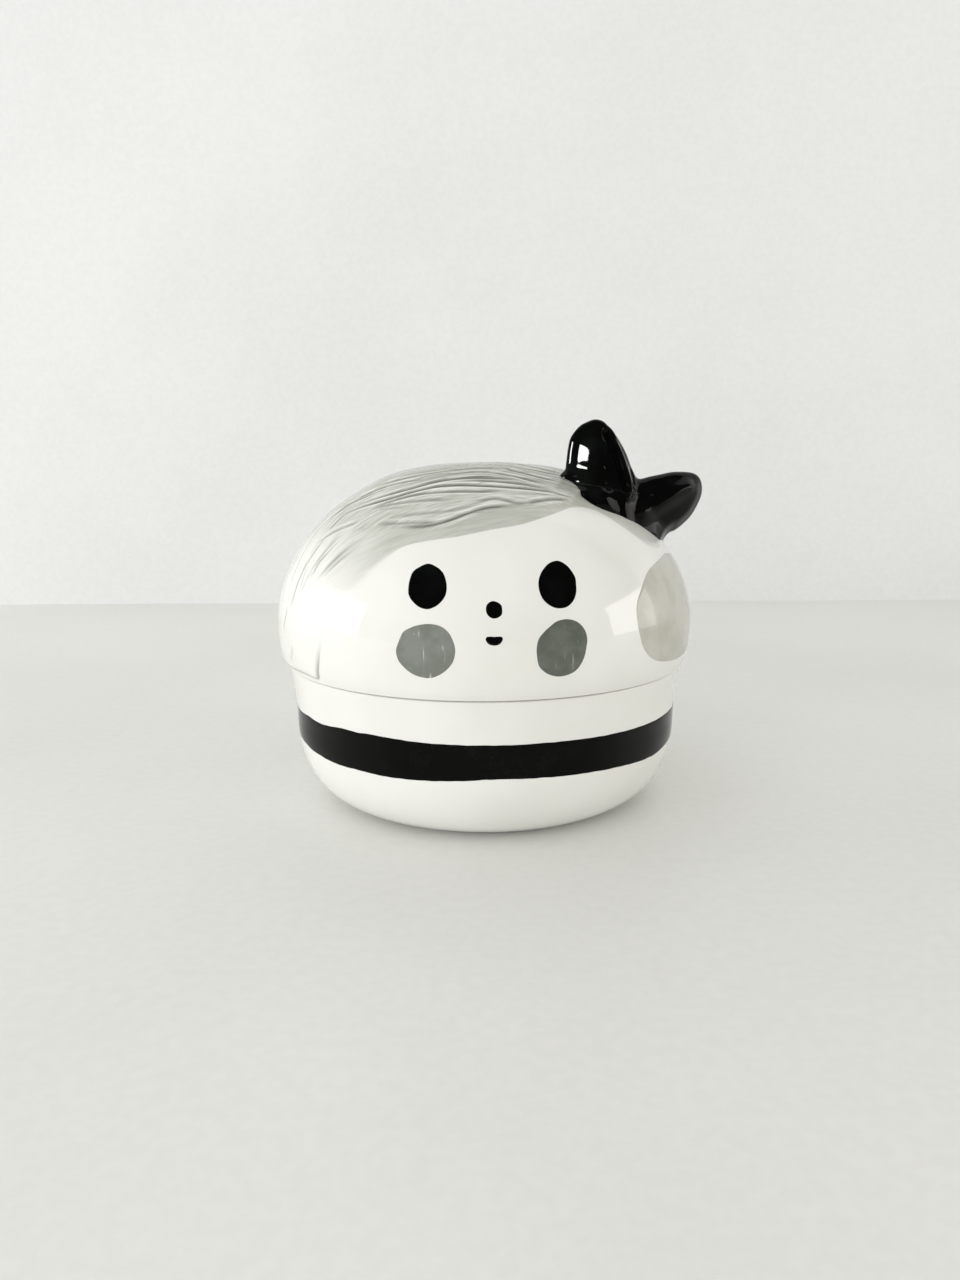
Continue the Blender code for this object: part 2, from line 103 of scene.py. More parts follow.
def clear_glazed_porcelain():
    """Slip-cast porcelain under a clear glaze: milk white, a little warmer where the glaze lies thick, with a
    wet gloss. The field bare marks the edges that carry no glaze: they are matt and finely grained."""
    material, tree, shader, place = new_finish("clear glazed porcelain")
    bare = add_node(tree, "ShaderNodeAttribute", output="Fac", attribute_name="bare")
    thick = clouds(tree, place, 30, 2.0, 0.35, 0.7)
    grit = add_node(tree, "ShaderNodeTexNoise", {"Vector": place, "Scale": 1000 / 0.5, "Detail": 3.0})
    white, grain = [
        add_node(tree, "ShaderNodeMix", {0: share, 6: linear(first), 7: linear(second)}, 2, data_type="RGBA")
        for share, first, second in ((thick, "EFEFEB", "E9E9E3"), (grit, "EBEAE6", "DFDDD8"))]
    gloss = clouds(tree, place, 14, 3.0, 0.3, 0.7, 0.045, 0.085)
    fill(tree, shader, {
        "Base Color": add_node(tree, "ShaderNodeMix", {0: bare, 6: white, 7: grain}, 2, data_type="RGBA"),
        "Roughness": add_node(tree, "ShaderNodeMix", {0: bare, 2: gloss, 3: 0.62}),
        "IOR": 1.52,
        "Subsurface Weight": 0.12,
        "Subsurface Radius": [1.0, 0.9, 0.75],
        "Subsurface Scale": 0.0015,
        "Normal": glaze_bump(tree, place, 0.006, 3.5),
    })
    return material


def smooth(value, low, high):
    """0 below low and 1 above high, and t * t * (3 - 2 t) between them."""
    t = np.clip((value - low) / (high - low), 0, 1)
    return t * t * (3 - 2 * t)


def add_surface(name, points, body, finish, loop=False, fields=None):
    """Piece through rows of points in mm that each close on themselves. With loop the last row joins the
    first. A row whose points fall together becomes one point. Fields are values to keep at the points."""
    rows, columns = points.shape[:2]
    here = np.arange(rows * columns).reshape(rows, columns)
    here = np.vstack([here, here[:1]]) if loop else here
    beside = np.roll(here, -1, axis=1)
    faces = np.stack([here[:-1], beside[:-1], beside[1:], here[1:]], -1).reshape(-1, 4)
    mesh = bpy.data.meshes.new(name)
    mesh.from_pydata((points.reshape(-1, 3) / 1000).tolist(), [], faces.tolist())
    for field, values in (fields or {}).items():
        kind = "FLOAT_VECTOR" if values.ndim == 3 else "FLOAT"
        layer = mesh.attributes.new(field, kind, "POINT")
        layer.data.foreach_set("vector" if values.ndim == 3 else "value", values.astype(np.float32).ravel())
    shape = bmesh.new()
    shape.from_mesh(mesh)
    bmesh.ops.remove_doubles(shape, verts=shape.verts, dist=1e-6)
    shape.to_mesh(mesh)
    shape.free()
    mesh.shade_smooth()
    mesh.materials.append(finish)
    piece = bpy.data.objects.new(name, mesh)
    bpy.context.scene.collection.objects.link(piece)
    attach(piece, body)
    return piece


def by_run(radius, height):
    """The same outline with the distance run along it and its outward normals, as five rows."""
    run = np.concatenate([[0], np.cumsum(np.hypot(np.diff(radius), np.diff(height)))])
    out, up = np.gradient(height, run), -np.gradient(radius, run)
    length = np.hypot(out, up)
    return np.stack([run, radius, height, out / length, up / length])


def along(outline, run, lift=0.0):
    """Radius and height at a run along the outline, lifted off it along its normal."""
    radius, height, out, up = [np.interp(run, outline[0], row) for row in outline[1:]]
    return radius + lift * out, height + lift * up


def unevenness(azimuth, height):
    """Swells of the wall in mm: three sines of the azimuth whose phase drifts with height."""
    turn = np.radians(azimuth)
    slow = 0.05 * np.sin(2 * turn + 0.7 + height / 31) + 0.035 * np.sin(3 * turn - 1.9 - height / 23)
    return slow + 0.02 * np.sin(7 * turn + height / 9)


def cast(azimuth, radius, height):
    """Points of a cast wall at azimuths, radii and heights: the radius times the sine and minus the cosine of
    the azimuth, and the height. The wall's unevenness is added to the radius and fades out near the axis."""
    radius = radius + smooth(radius, 8, 30) * unevenness(azimuth, height)
    turn = np.radians(azimuth)
    return np.stack(np.broadcast_arrays(radius * np.sin(turn), -radius * np.cos(turn), height), -1)


def swept(profile, azimuth):
    """Rows of points: each radius and height of the profile at every azimuth."""
    return cast(azimuth[None], profile[0][:, None], profile[1][:, None])


# Radii of the foot, of the belly where its wall stands upright and of the seam, heights of that place, of the
# seam and of the rim's top, how far the rim is rounded outside and inside, the thickness of the wall and of
# the floor, the depth of the recess inside the foot ring, and how full the belly's outline is
FOOT_RADIUS, BELLY_RADIUS, SEAM_RADIUS = 30.35, 48.45, 50.0
BELLY, SEAM, RIM_TOP = 21.3, 35.2, 35.05
OUTER_ROUND, INNER_ROUND = 0.35, 0.7
WALL, FLOOR, RECESS = 3.0, 3.5, 0.5
BELLY_POWER = 2 / 2.336

turn = np.linspace(math.pi / 2, 0, 900)
rise = np.linspace(0, 1, 900)[1:]
bowl_radius = np.concatenate([FOOT_RADIUS + (BELLY_RADIUS - FOOT_RADIUS) * np.cos(turn) ** BELLY_POWER,
                              BELLY_RADIUS + (SEAM_RADIUS - BELLY_RADIUS) * rise ** 1.5])
bowl_height = np.concatenate([BELLY * (1 - np.sin(turn) ** BELLY_POWER), BELLY + (SEAM - BELLY) * rise])
BOWL = by_run(bowl_radius, bowl_height)

# Radii and heights of the outline's stretches. The outside begins at run 0.4, past the foot ring, and the
# inside ends at run 3.6, where it curves into the floor
arc = np.radians(np.linspace(0, 90, 7))
outside = along(BOWL, np.linspace(0.4, np.interp(RIM_TOP - OUTER_ROUND, BOWL[2], BOWL[0]), 110))
inside = along(BOWL, np.linspace(np.interp(RIM_TOP - INNER_ROUND, BOWL[2], BOWL[0]), 3.6, 70), -WALL)
outer_rim = (outside[0][-1] - OUTER_ROUND * (1 - np.cos(arc)), RIM_TOP - OUTER_ROUND * (1 - np.sin(arc)))
inner_rim = (inside[0][0] + INNER_ROUND * (1 - np.sin(arc)), RIM_TOP - INNER_ROUND * (1 - np.cos(arc)))
foot = (np.array([0, 9, 18, 25.2, 25.9, 26.4, 26.9, 28.6]),
        RECESS * np.array([1, 1, 1, 1, 0.84, 0.24, 0, 0]))
floor = (inside[0][-1] * np.array([0.93, 0.85, 0.7, 0.5, 0.25, 0]),
         inside[1][-1] + (FLOOR - inside[1][-1]) * np.array([0.55, 0.8, 0.95, 1, 1, 1]))
bowl_profile = [np.concatenate(parts) for parts in zip(foot, outside, outer_rim, inner_rim, inside, floor)]
bowl_azimuth = np.linspace(-180, 180, 289)[:-1]
bare_foot = smooth(bowl_profile[0], 25.8, 26.4) * smooth(bowl_profile[0], 31.6, 30.9)
bare_foot = bare_foot * (bowl_profile[1] < 0.6)
bare_rim = smooth(bowl_profile[1], RIM_TOP - 0.25, RIM_TOP - 0.1)
bare = np.repeat((bare_foot + bare_rim)[:, None], len(bowl_azimuth), 1)
porcelain = clear_glazed_porcelain()
bowl = add_surface("bowl_body", swept(bowl_profile, bowl_azimuth), "bowl", porcelain, fields={"bare": bare})
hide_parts("base_bowl")

# The black band. One coat of black glaze brushed round the bowl below the seam, its edges rising and falling
# by up to 0.7 mm with the hand. A thin ring whose face stands 0.05 mm proud and whose edges sink into the
# porcelain, so the painted line is where the two surfaces cross.


def black_gloss(name, reflect, rough):
    """Black glaze, brushed on and fired: deep black with a wet shine, a little lighter where it is thin."""
    material, tree, shader, place = new_finish(name)
    thin = clouds(tree, place, 5, 4.0, 0.45, 0.8)
    fill(tree, shader, {
        "Base Color": add_node(tree, "ShaderNodeMix", {0: thin, 6: linear("050605"), 7: linear("0B0D0C")}, 2,
                               data_type="RGBA"),
        "Roughness": clouds(tree, place, 8, 2.0, 0.3, 0.7, rough, rough * 1.8),
        "IOR": reflect,
        "Normal": glaze_bump(tree, place, 0.008, 4.0),
    })
    return material


def wander(azimuth, seed, reach, fine):
    """Drift of a brushed edge in mm: four slow sines round the bowl that reach out about reach mm in all, and
    four quick ones that reach out about fine mm."""
    turn = np.radians(azimuth)
    phase = np.random.default_rng(seed).uniform(0, 2 * math.pi, 8)
    slow = sum(np.sin(k * turn + phase[i]) for i, k in enumerate((2, 5, 9, 14)))
    quick = sum(np.sin(k * turn + phase[4 + i]) for i, k in enumerate((31, 47, 68, 95)))
    return reach * slow / 2.2 + fine * quick / 2.2


def curve_through(points, pieces=6):
    """Catmull-Rom curve through points, with each span cut into pieces."""
    points = np.asarray(points, float)
    ends = np.vstack([2 * points[0] - points[1], points, 2 * points[-1] - points[-2]])
    t = np.arange(pieces)[:, None, None] / pieces
    a, b, c, d = ends[:-3], ends[1:-2], ends[2:-1], ends[3:]
    spans = b + 0.5 * t * (c - a + t * (2 * a - 5 * b + 4 * c - d + t * (3 * (b - c) + d - a)))
    return np.vstack([spans.transpose(1, 0, 2).reshape(-1, points.shape[1]), points[-1:]])


# Azimuth, height of the band's lower edge and of its upper one
BAND_EDGES = curve_through([
    (-180, 17, 25.4), (-140, 17.2, 25.5), (-100, 17.1, 25.2), (-78, 17.3, 25), (-66, 17.15, 25.1),
    (-60, 16.8, 25.4), (-54, 16.6, 25.1), (-48, 16.35, 25.3), (-42, 16.25, 25.8), (-36, 16.4, 25.7),
    (-30, 16.25, 25.85), (-18, 16.4, 25.5), (-12, 16.65, 25.4), (-6, 16.9, 25.35), (0, 17.3, 25.35),
    (6, 17.3, 25.3), (18, 17.05, 25.3), (30, 16.8, 25.2), (42, 16.4, 25.05), (54, 16, 24.95),
    (66, 16.35, 24.95), (80, 16.6, 25), (110, 17, 25.3), (145, 16.9, 25.5), (180, 17, 25.4)])
band_azimuth = np.linspace(-180, 180, 721)[:-1]
band_foot, band_top = [np.interp(band_azimuth, BAND_EDGES[:, 0], edge) for edge in BAND_EDGES.T[1:]]
band_top = band_top + wander(band_azimuth, 3, 0.03, 0.03)
band_foot = band_foot + wander(band_azimuth, 8, 0.03, 0.04)
# The rows lie up the band's face as shares of its height, and three go back down behind it
COAT, SINK, BACK = 0.05, 0.025, 0.4
step = np.concatenate([[0, 0.012, 0.03, 0.055], np.linspace(0.09, 0.91, 20), [0.945, 0.97, 0.988, 1]])
from_edge = np.minimum(step, 1 - step)
proud = COAT * smooth(from_edge, 0, 0.07) - SINK * smooth(from_edge, 0.02, 0)
step = np.concatenate([step, [0.95, 0.5, 0.05]])
proud = np.concatenate([proud, [-BACK, -BACK, -BACK]])
band_height = band_foot + (band_top - band_foot) * step[:, None]
band_radius, band_level = along(BOWL, np.interp(band_height, BOWL[2], BOWL[0]), proud[:, None])
band_points = cast(band_azimuth[None], band_radius, band_level)
band_glaze = black_gloss("brushed black glaze", 1.18, 0.08)
band = add_surface("band_coat", band_points, "bowl", band_glaze, loop=True)
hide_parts("black_band")

# The lid. White cast porcelain like the bowl: a head-shaped dome that overhangs the seam, with a flange
# inside that drops into the bowl. Its outline runs from the middle of the crown down the inside, round the
# flange, out over the seat and up the outside to the crown.

# Radius of the lid's widest place and its height above the seam, height of the crown above that place,
# height of the lid's lower edge and of the flange's upper end, and how full the outline is below its widest
# place, at the side and on top
LID_RADIUS, WIDEST, DOME, LIP_FOOT, FLANGE_TOP = 52.05, 10.9, 37.0, 35.35, 40
LIP_POWER, SIDE_POWER, TOP_POWER = 2 / 2.07, 2 / 2.571, 2 / 1.738

turn = np.linspace(0, math.pi / 2, 1500)
lip_radius = SEAM_RADIUS + (LID_RADIUS - SEAM_RADIUS) * np.sin(turn) ** LIP_POWER
lip_height = WIDEST * (1 - np.cos(turn) ** LIP_POWER)
dome_radius = LID_RADIUS * np.cos(turn) ** SIDE_POWER
dome_height = WIDEST + DOME * np.sin(turn) ** TOP_POWER
dome_radius[-1] = 0
LID = by_run(np.concatenate([lip_radius, dome_radius[1:]]),
             SEAM + np.concatenate([lip_height, dome_height[1:]]))
LID[3:, -1] = (0, 1)
CROWN = LID[0, -1]


def on_lid(azimuth, run, lift=0.0):
    """Points at azimuths and runs on the lid's outside, lifted off it along the outline's normal."""
    return cast(azimuth, *along(LID, run, lift))


outside = along(LID, np.linspace(np.interp(LIP_FOOT + OUTER_ROUND, LID[2], LID[0]), CROWN, 150))
lip = (outside[0][0] - OUTER_ROUND * (1 - np.sin(arc[:-1])),
       LIP_FOOT + OUTER_ROUND * (1 - np.cos(arc[:-1])))
inside = along(LID, np.linspace(CROWN, np.interp(FLANGE_TOP, LID[2], LID[0]), 60), -WALL)
inside[0][0] = 0
# Down the flange's inside, round its foot, up its outside and out under the lid's seat
flange = (np.array([44.6, 44.3, 44.2, 44.2, 44.35, 44.9, 45.5, 46.05, 46.35, 46.4, 46.4, 46.55, 47.2, 48.4]),
          np.array([38.2, 37.2, 36, 32, 31.5, 31.2, 31.2, 31.5, 32, 33.6, 34.9, 35.25, 35.35, 35.35]))
lid_profile = [np.concatenate(parts) for parts in zip(inside, flange, lip, outside)]
lid_azimuth = np.linspace(-180, 180, 321)[:-1]
bare_seat = smooth(lid_profile[0], 46.2, 46.5) * smooth(lid_profile[1], LIP_FOOT + 0.25, LIP_FOOT + 0.1)
bare = np.repeat(bare_seat[:, None], len(lid_azimuth), 1)
lid = add_surface("lid_body", swept(lid_profile, lid_azimuth), "lid", porcelain, fields={"bare": bare})
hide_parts("lid_shell")

# The hair. Modelled relief that sweeps from the bow over the crown and down the left side and back, grooved
# along its strands, under a thin grey wash that pools dark in the grooves and thins to white at the tips. One
# dome-shaped sheet over the lid: where it is hair it lies above the porcelain, and elsewhere hidden below it.

# Lower edge of the wash and lower edge of the raised locks: azimuth, height above the seam, and for the
# locks the width in mm over which they rise
WASH_EDGE = np.array([
    (-180, 1.7), (-140, 1.4), (-100, 1.7), (-78, 1.2), (-66, 1.2), (-54.6, 1.5), (-47.6, 1.3), (-46.4, 3.6),
    (-45, 7.5), (-43.2, 12), (-40, 16.5), (-35.9, 21), (-33, 23.6), (-30.3, 26.8), (-24.6, 31.2),
    (-18.2, 32.7), (-8.2, 33.8), (2, 35.2), (11.1, 36.1), (19.6, 37.4), (27.2, 38.5), (33.2, 39.2),
    (40, 38.9), (44.9, 37.6), (50.9, 33.9), (56, 30.6), (61, 29.2), (66, 29.2), (70, 30.2), (73, 32.4),
    (77, 35.4), (84, 35.8), (91, 33.5), (96, 28), (98, 20), (99, 9), (100.5, 2.6), (104, 1.5), (140, 1.9),
    (180, 1.7)])
LOCK_EDGE = np.array([
    (-180, 1.7, 0.7), (-140, 1.4, 0.7), (-100, 1.7, 0.7), (-78, 1.2, 0.7), (-66, 1.2, 0.6), (-54.6, 1.5, 0.6),
    (-47.6, 1.3, 0.6), (-46.4, 3.6, 0.7), (-45, 7.5, 1.6), (-43.8, 12, 4), (-42.6, 18, 6), (-41.4, 25, 6),
    (-40.2, 30.6, 4.5), (-38.2, 34.3, 2.2), (-33, 35, 1.3), (-27, 35.1, 0.9), (-21, 35, 0.8),
    (-14, 35.3, 0.8), (-9.4, 35.9, 0.9), (-5.2, 37, 0.9), (0, 38.4, 0.9), (6.5, 39.1, 1.0), (13.1, 39.3, 1.0),
    (22, 39.5, 1.0), (29.5, 39.6, 1.0), (38, 40.8, 1.0), (46, 41.6, 1.2), (56, 41.4, 1.5), (66, 39.5, 1.5),
    (76, 38, 1.5), (84, 37.2, 1.5), (91, 34.8, 1.5), (96.5, 28.6, 1.2), (99, 20, 1), (100, 9, 0.8),
    (101.5, 2.8, 0.7), (105, 1.5, 0.7), (140, 1.9, 0.7), (180, 1.7, 0.7)])
# Grooves seen in front: strength, then azimuth and run at points along each
GROOVES = (
    (0.95, [(-26.3, 58.9), (-20.8, 60.5), (-13.7, 61.5), (-7.6, 62.2), (-1, 62.6), (6.5, 61.5), (11.4, 60),
            (16.9, 58.6), (19.8, 57.3), (23.1, 56.1), (27.2, 54.8), (30.6, 53.7)]),
    (0.8, [(-65.3, 51.8), (-59, 54.6), (-50.5, 57.1), (-41, 59.4), (-32, 61.7), (-22, 64), (-11, 65.8),
           (0, 66.3), (8.5, 65.8), (17, 64.3)]),
    (0.9, [(-64.5, 46.9), (-61.8, 49.5), (-58, 51.7), (-52.8, 53.5), (-46.5, 55), (-39.5, 56.2),
           (-31.5, 57.4)]),
    (0.9, [(-58.2, 44.7), (-52.6, 46.6), (-46.8, 48.7), (-38.6, 51.1), (-32.6, 52.7), (-28, 54.8),
           (-23, 56.3), (-15.2, 57.5), (-9, 57.8), (-1.8, 58), (6.2, 57.7), (12.6, 56.9), (16.1, 56.1)]),
    (0.8, [(-8.7, 56.2), (-1.8, 56.5), (5.8, 56), (11.8, 55.3), (18.6, 54.1), (25.2, 53), (30.2, 51.7)]),
    (1.0, [(-61.2, 41.2), (-55.9, 42.8), (-52, 45), (-43.8, 47.1), (-36.4, 49.5), (-30.9, 51.3),
           (-25.2, 53.1), (-18.6, 54.2), (-9.2, 54.4), (2.3, 54), (11.1, 53.1), (19.8, 52.3), (28.4, 51.2),
           (32.8, 49.8), (36, 47.5)]),
    (0.8, [(-45.9, 44.8), (-40.3, 46.6), (-34.9, 48.3), (-29.5, 50.1), (-23.3, 51), (-16.8, 51.3),
           (-9.5, 51.3), (-2, 51.2), (5, 51.3), (12.6, 51.5)]),
    (0.55, [(-47, 43.7), (-41.4, 45.5), (-33.1, 46.8), (-26.7, 47.1), (-23.1, 47.8), (-17.1, 48),
            (-12.4, 48)]),
    (0.65, [(-4, 46.9), (-1.5, 47.3), (0.7, 48.1), (3.8, 48.6), (6.4, 48.3), (8.8, 47.4), (11.2, 46.7),
            (13.4, 46.5), (18.2, 47)]),
    (0.8, [(13.4, 46.5), (18.2, 47), (23, 47.7), (26.6, 47.9), (29.7, 47.9), (33.7, 47.2)]),
    (0.55, [(-36.7, 39.3), (-31.8, 39.8), (-27.6, 40.2), (-22.4, 40.4), (-18, 40.3), (-14.2, 40.9)]),
    (0.9, [(-37.3, 38.7), (-30.4, 38.9), (-26.2, 39.2), (-21.4, 39), (-17, 39.5), (-13.8, 40.4),
           (-10.5, 41.4), (-8.1, 42.4), (-6.3, 43.4), (-2.4, 44.5), (0, 45.3), (2.8, 45.7), (5.9, 45.8),
           (9.5, 45.8), (13.9, 46.1)]),
    (0.4, [(-31.7, 41.6), (-26.1, 42.5), (-21.1, 43.3), (-16, 43.9), (-11.2, 44.3), (-7.6, 44.8)]),
    (0.35, [(-40.7, 44.2), (-34.5, 44.6), (-28.9, 45.1)]),
    (1.0, [(12, 72), (21, 69.5), (28, 66.7), (34, 64), (39.5, 61.3), (44, 59.3), (48, 58)]),
    (0.9, [(42, 71), (46, 68), (49, 65), (51.5, 62), (53.5, 59.5)]),
    (0.95, [(14.1, 66), (18.9, 62.9), (24.1, 61.3), (28.8, 58.5), (34.1, 56.6), (38.8, 55.4)]),
    (0.8, [(-68.1, 43.5), (-64.9, 45.5), (-62, 47.5), (-59.1, 49.1), (-54.2, 50.9), (-50, 52.2)]),
    (0.8, [(-78.5, 34), (-77.5, 37), (-76, 40), (-74, 42.8), (-71.5, 45.2)]),
    (0.7, [(-60, 37), (-58.8, 37.9), (-59, 39.4), (-59.1, 40.8), (-58.2, 42.1)]),
    (0.6, [(-61.7, 32.6), (-58.8, 34.1), (-56.3, 36.3), (-52.3, 37.8), (-48.8, 39), (-44.6, 40.3)]),
    (0.7, [(-53.4, 25), (-53.3, 27), (-52.9, 28.8), (-51.8, 30.2), (-50.1, 31.7)]),
    (0.5, [(-57.8, 21.3), (-58.2, 23.1), (-58.8, 25.5), (-58.3, 27.3)]),
    (0.9, [(-66.8, 20.7), (-67.1, 23.1), (-67.5, 26), (-68.4, 28.9), (-69.3, 32), (-70.4, 35.2),
           (-70.2, 37.8), (-68.6, 40), (-66.6, 42), (-64.9, 44), (-62.4, 46.1)]),
    (0.9, [(-61.1, 16.2), (-61, 20.1), (-61.1, 23.4), (-60.7, 26.5), (-60.9, 29)]),
    (0.8, [(-73.4, 26.4), (-73.3, 29.4), (-73.1, 32.2), (-72.8, 34.6), (-72.4, 37)]),
    (0.5, [(-56.7, 21), (-56.3, 23.3), (-55.3, 25.8)]),
    (0.7, [(-66.6, 10.8), (-65.3, 12.9), (-64.6, 14.4), (-63.9, 16.4)]),
    (0.45, [(-61.9, 3.8), (-60.4, 5.8), (-59.2, 7.9)]),
    (0.3, [(-42.7, 26.2), (-41, 29.7), (-38, 33.1), (-32.4, 36), (-24.9, 38.2)]),
    (0.25, [(-36.7, 23.2), (-35, 26.5), (-32.1, 30.1), (-27.4, 33.3), (-21.4, 35.5)]),
    (0.3, [(-48.1, 25), (-47.1, 29), (-44.2, 33), (-39.7, 36.2), (-32.7, 38.5)]),
)


def eased(path, rounds=50):
    """Path with its wiggles ironed out: each point inside it goes to a quarter, a half and a quarter of its
    neighbours and itself, in rounds."""
    for _ in range(rounds):
        path[1:-1] = 0.25 * path[:-2] + 0.5 * path[1:-1] + 0.25 * path[2:]
    return path


def to_path(points, path):
    """Distance in mm from each point to the nearest place on a path, and how far along it that is, 0 to 1."""
    best = np.full(len(points), 1e9)
    share = np.zeros(len(points))
    for i, (start, end) in enumerate(zip(path[:-1], path[1:])):
        line = end - start
        t = np.clip((points - start) @ line / max(line @ line, 1e-9), 0, 1)
        distance = np.linalg.norm(points - start - t[:, None] * line, axis=1)
        nearer = distance < best
        best = np.where(nearer, distance, best)
        share = np.where(nearer, (i + t) / (len(path) - 1), share)
    return best, share


def above_edge(points, azimuth, run, edge):
    """Distance in mm from each point to an edge of azimuths and heights above the seam, negative below it,
    with the value of the edge's last column at the nearest place."""
    fine = curve_through(edge, 4)
    edge_run = np.interp(fine[:, 1] + SEAM, LID[2], LID[0])
    distance, share = to_path(points, on_lid(fine[:, 0], edge_run))
    sign = np.sign(run - np.interp(azimuth, fine[:, 0], edge_run))
    return distance * sign, np.interp(share, np.linspace(0, 1, len(fine)), fine[:, -1])


def bell(value, middle, width):
    """1 at the middle, less on both sides: e to the power of minus the square of (value - middle) / width."""
    return np.exp(-((value - middle) / width) ** 2)


def on_ball(azimuth, lift):
    """Points of a ball of radius 1 at azimuths and angles up from its equator, in radians."""
    return np.stack([np.cos(lift) * np.sin(azimuth), -np.cos(lift) * np.cos(azimuth), np.sin(lift)], -1)


# Azimuth and angle up of the strands' start, under the bow, and of their left tip, on a ball that stands in
# for the lid, and the ball's diameter in mm
STRANDS_START, STRANDS_TIP, BALL = (54.3, 42.1), (-60.5, 8.1), 104


def strand_places(azimuth, run):
    """Where a point lies among the strands, which are circles through their start and their tip. On a map
    that keeps angles, seen from the tip, they are straight lines. It gives a point's heading from the start,
    the logarithm of its distance, and how many mm of surface a radian of heading spans."""
    ball = on_ball(np.radians(azimuth), np.pi / 2 * run / CROWN)
    start, tip = [on_ball(*np.radians(place)) for place in (STRANDS_START, STRANDS_TIP)]
    across = np.cross(tip, (0, 0, 1))
    across /= np.linalg.norm(across)
    upward = np.cross(across, tip)

    def flat(points):
        return (points @ across + 1j * (points @ upward)) / np.maximum(1 - points @ tip, 1e-6)

    away = flat(ball) - flat(start)
    scale = BALL / (1 + np.abs(flat(ball)) ** 2)
    return np.angle(away), np.log(np.abs(away) + 1e-6), np.abs(away) * scale


# Columns lie closest in front, and rows along the hairline
hair_azimuth = np.concatenate([np.linspace(-100, -30, 168)[:-1], np.linspace(-30, 60, 151)[:-1],
                               np.linspace(60, 260, 189)[:-1]])
hair_azimuth = np.where(hair_azimuth > 180, hair_azimuth - 360, hair_azimuth)
hair_run = np.concatenate([np.linspace(0.95, 34, 52)[:-1], np.linspace(34, 62, 96)[:-1],
                           np.linspace(62, CROWN, 34)])
azimuth, run = [values.ravel() for values in np.meshgrid(hair_azimuth, hair_run)]
place = on_lid(azimuth, run)
in_wash, _ = above_edge(place, azimuth, run, WASH_EDGE)
in_lock, rise_width = above_edge(place, azimuth, run, LOCK_EDGE)
heading, reach, spread = strand_places(azimuth, run)

# Wash gathered in the grooves, a pale line on the ridges beside them, which is wash breaking off there and a
# painted highlight, and the grooves' cut in mm
POOL_WIDTH, BREAK_AND_HIGHLIGHT_WIDTH, CUT_WIDTH, BREAK_AND_HIGHLIGHT_AT = 0.42, 0.4, 0.55, 1.05
pooled_and_painted_light, broken_and_highlit, cut = np.zeros((3, len(place)))
for strength, points in GROOVES:
    path = eased(curve_through(points))
    path = on_lid(path[:, 0], path[:, 1])
    near = np.all((place > path.min(0) - 3) & (place < path.max(0) + 3), axis=1)
    distance, share = to_path(place[near], path)
    taper = smooth(np.minimum(share, 1 - share), -0.05, 0.22)
    pooled_and_painted_light[near] = np.maximum(pooled_and_painted_light[near], strength * taper * bell(distance, 0, POOL_WIDTH))
    broken_and_highlit[near] = np.maximum(broken_and_highlit[near], strength * taper * bell(distance, BREAK_AND_HIGHLIGHT_AT, BREAK_AND_HIGHLIGHT_WIDTH))
    cut[near] = np.maximum(cut[near], (0.14 + 0.24 * strength) * taper * bell(distance, 0, CUT_WIDTH))

# Strands over the back, where they are wide, and faint ones among the traced grooves: each has a heading, a
# sway, a beginning and an end
STRANDS = 74
chance = np.random.default_rng(21)
traced = smooth(azimuth, -88, -74) * smooth(azimuth, 50, 42) * smooth(run, 30, 38) * smooth(run, 72, 66)
spacing = 2 * math.pi / STRANDS
wide = 1 + 0.9 * np.maximum(smooth(azimuth, 56, 66), smooth(azimuth, -94, -104))
for i in range(STRANDS):
    middle = -math.pi + (i + chance.uniform(0.15, 0.85)) * spacing
    strength = chance.uniform(0.25, 1.0)
    sway = 0.3 * spacing * chance.uniform(0.3, 1.0)
    sway = sway * np.sin(reach * chance.uniform(1.5, 3.5) + chance.uniform(0, 6))
    off = np.angle(np.exp(1j * (heading - middle - sway))) * spread
    begin, end = np.sort(chance.uniform(-2.2, 2.2, 2)) + (-0.5, 0.5)
    strength = strength * smooth(reach, begin, begin + 0.3) * smooth(reach, end, end - 0.4)
    strength = strength * smooth(spread * spacing, 0.5, 1.8) * smooth(run, 8, 34) * (1 - 0.88 * traced)
    pool = strength / wide * (1 - 0.5 * traced) * bell(off, 0, POOL_WIDTH * wide)
    pooled_and_painted_light = np.maximum(pooled_and_painted_light, pool)
    broken_and_highlit = np.maximum(broken_and_highlit, strength * bell(np.abs(off), wide, BREAK_AND_HIGHLIGHT_WIDTH * wide))
    cut = np.maximum(cut, 0.32 * strength * bell(off, 0, 0.6 * wide))

# Height of the sheet in mm: the coat of wash, which dives under the porcelain below its edge, and on it the
# locks, thinner at the sides and thickest towards the crown, with their grooves and low swells
swells = 0.06 * np.sin(heading * 17 + 1.2 * np.sin(reach * 2)) + 0.03 * np.sin(heading * 41 + reach * 3)
in_front = 1 - np.clip(smooth(azimuth, -30, -62) + smooth(azimuth, 90, 120), 0, 1)
thick = 0.32 + 0.42 * in_front + (0.78 - 0.36 * in_front) * smooth(run, 46, 61)
lock = smooth(in_lock / rise_width, -0.35, 1.0)
coat = 0.05 * smooth(in_wash, 0, 0.5) - 0.16 * smooth(in_wash, 0, -0.6)
relief = thick - cut * (0.45 + 0.55 * thick) + swells * smooth(spread, 8, 26)
lift = coat + lock * smooth(in_wash, 0, 0.8) * relief

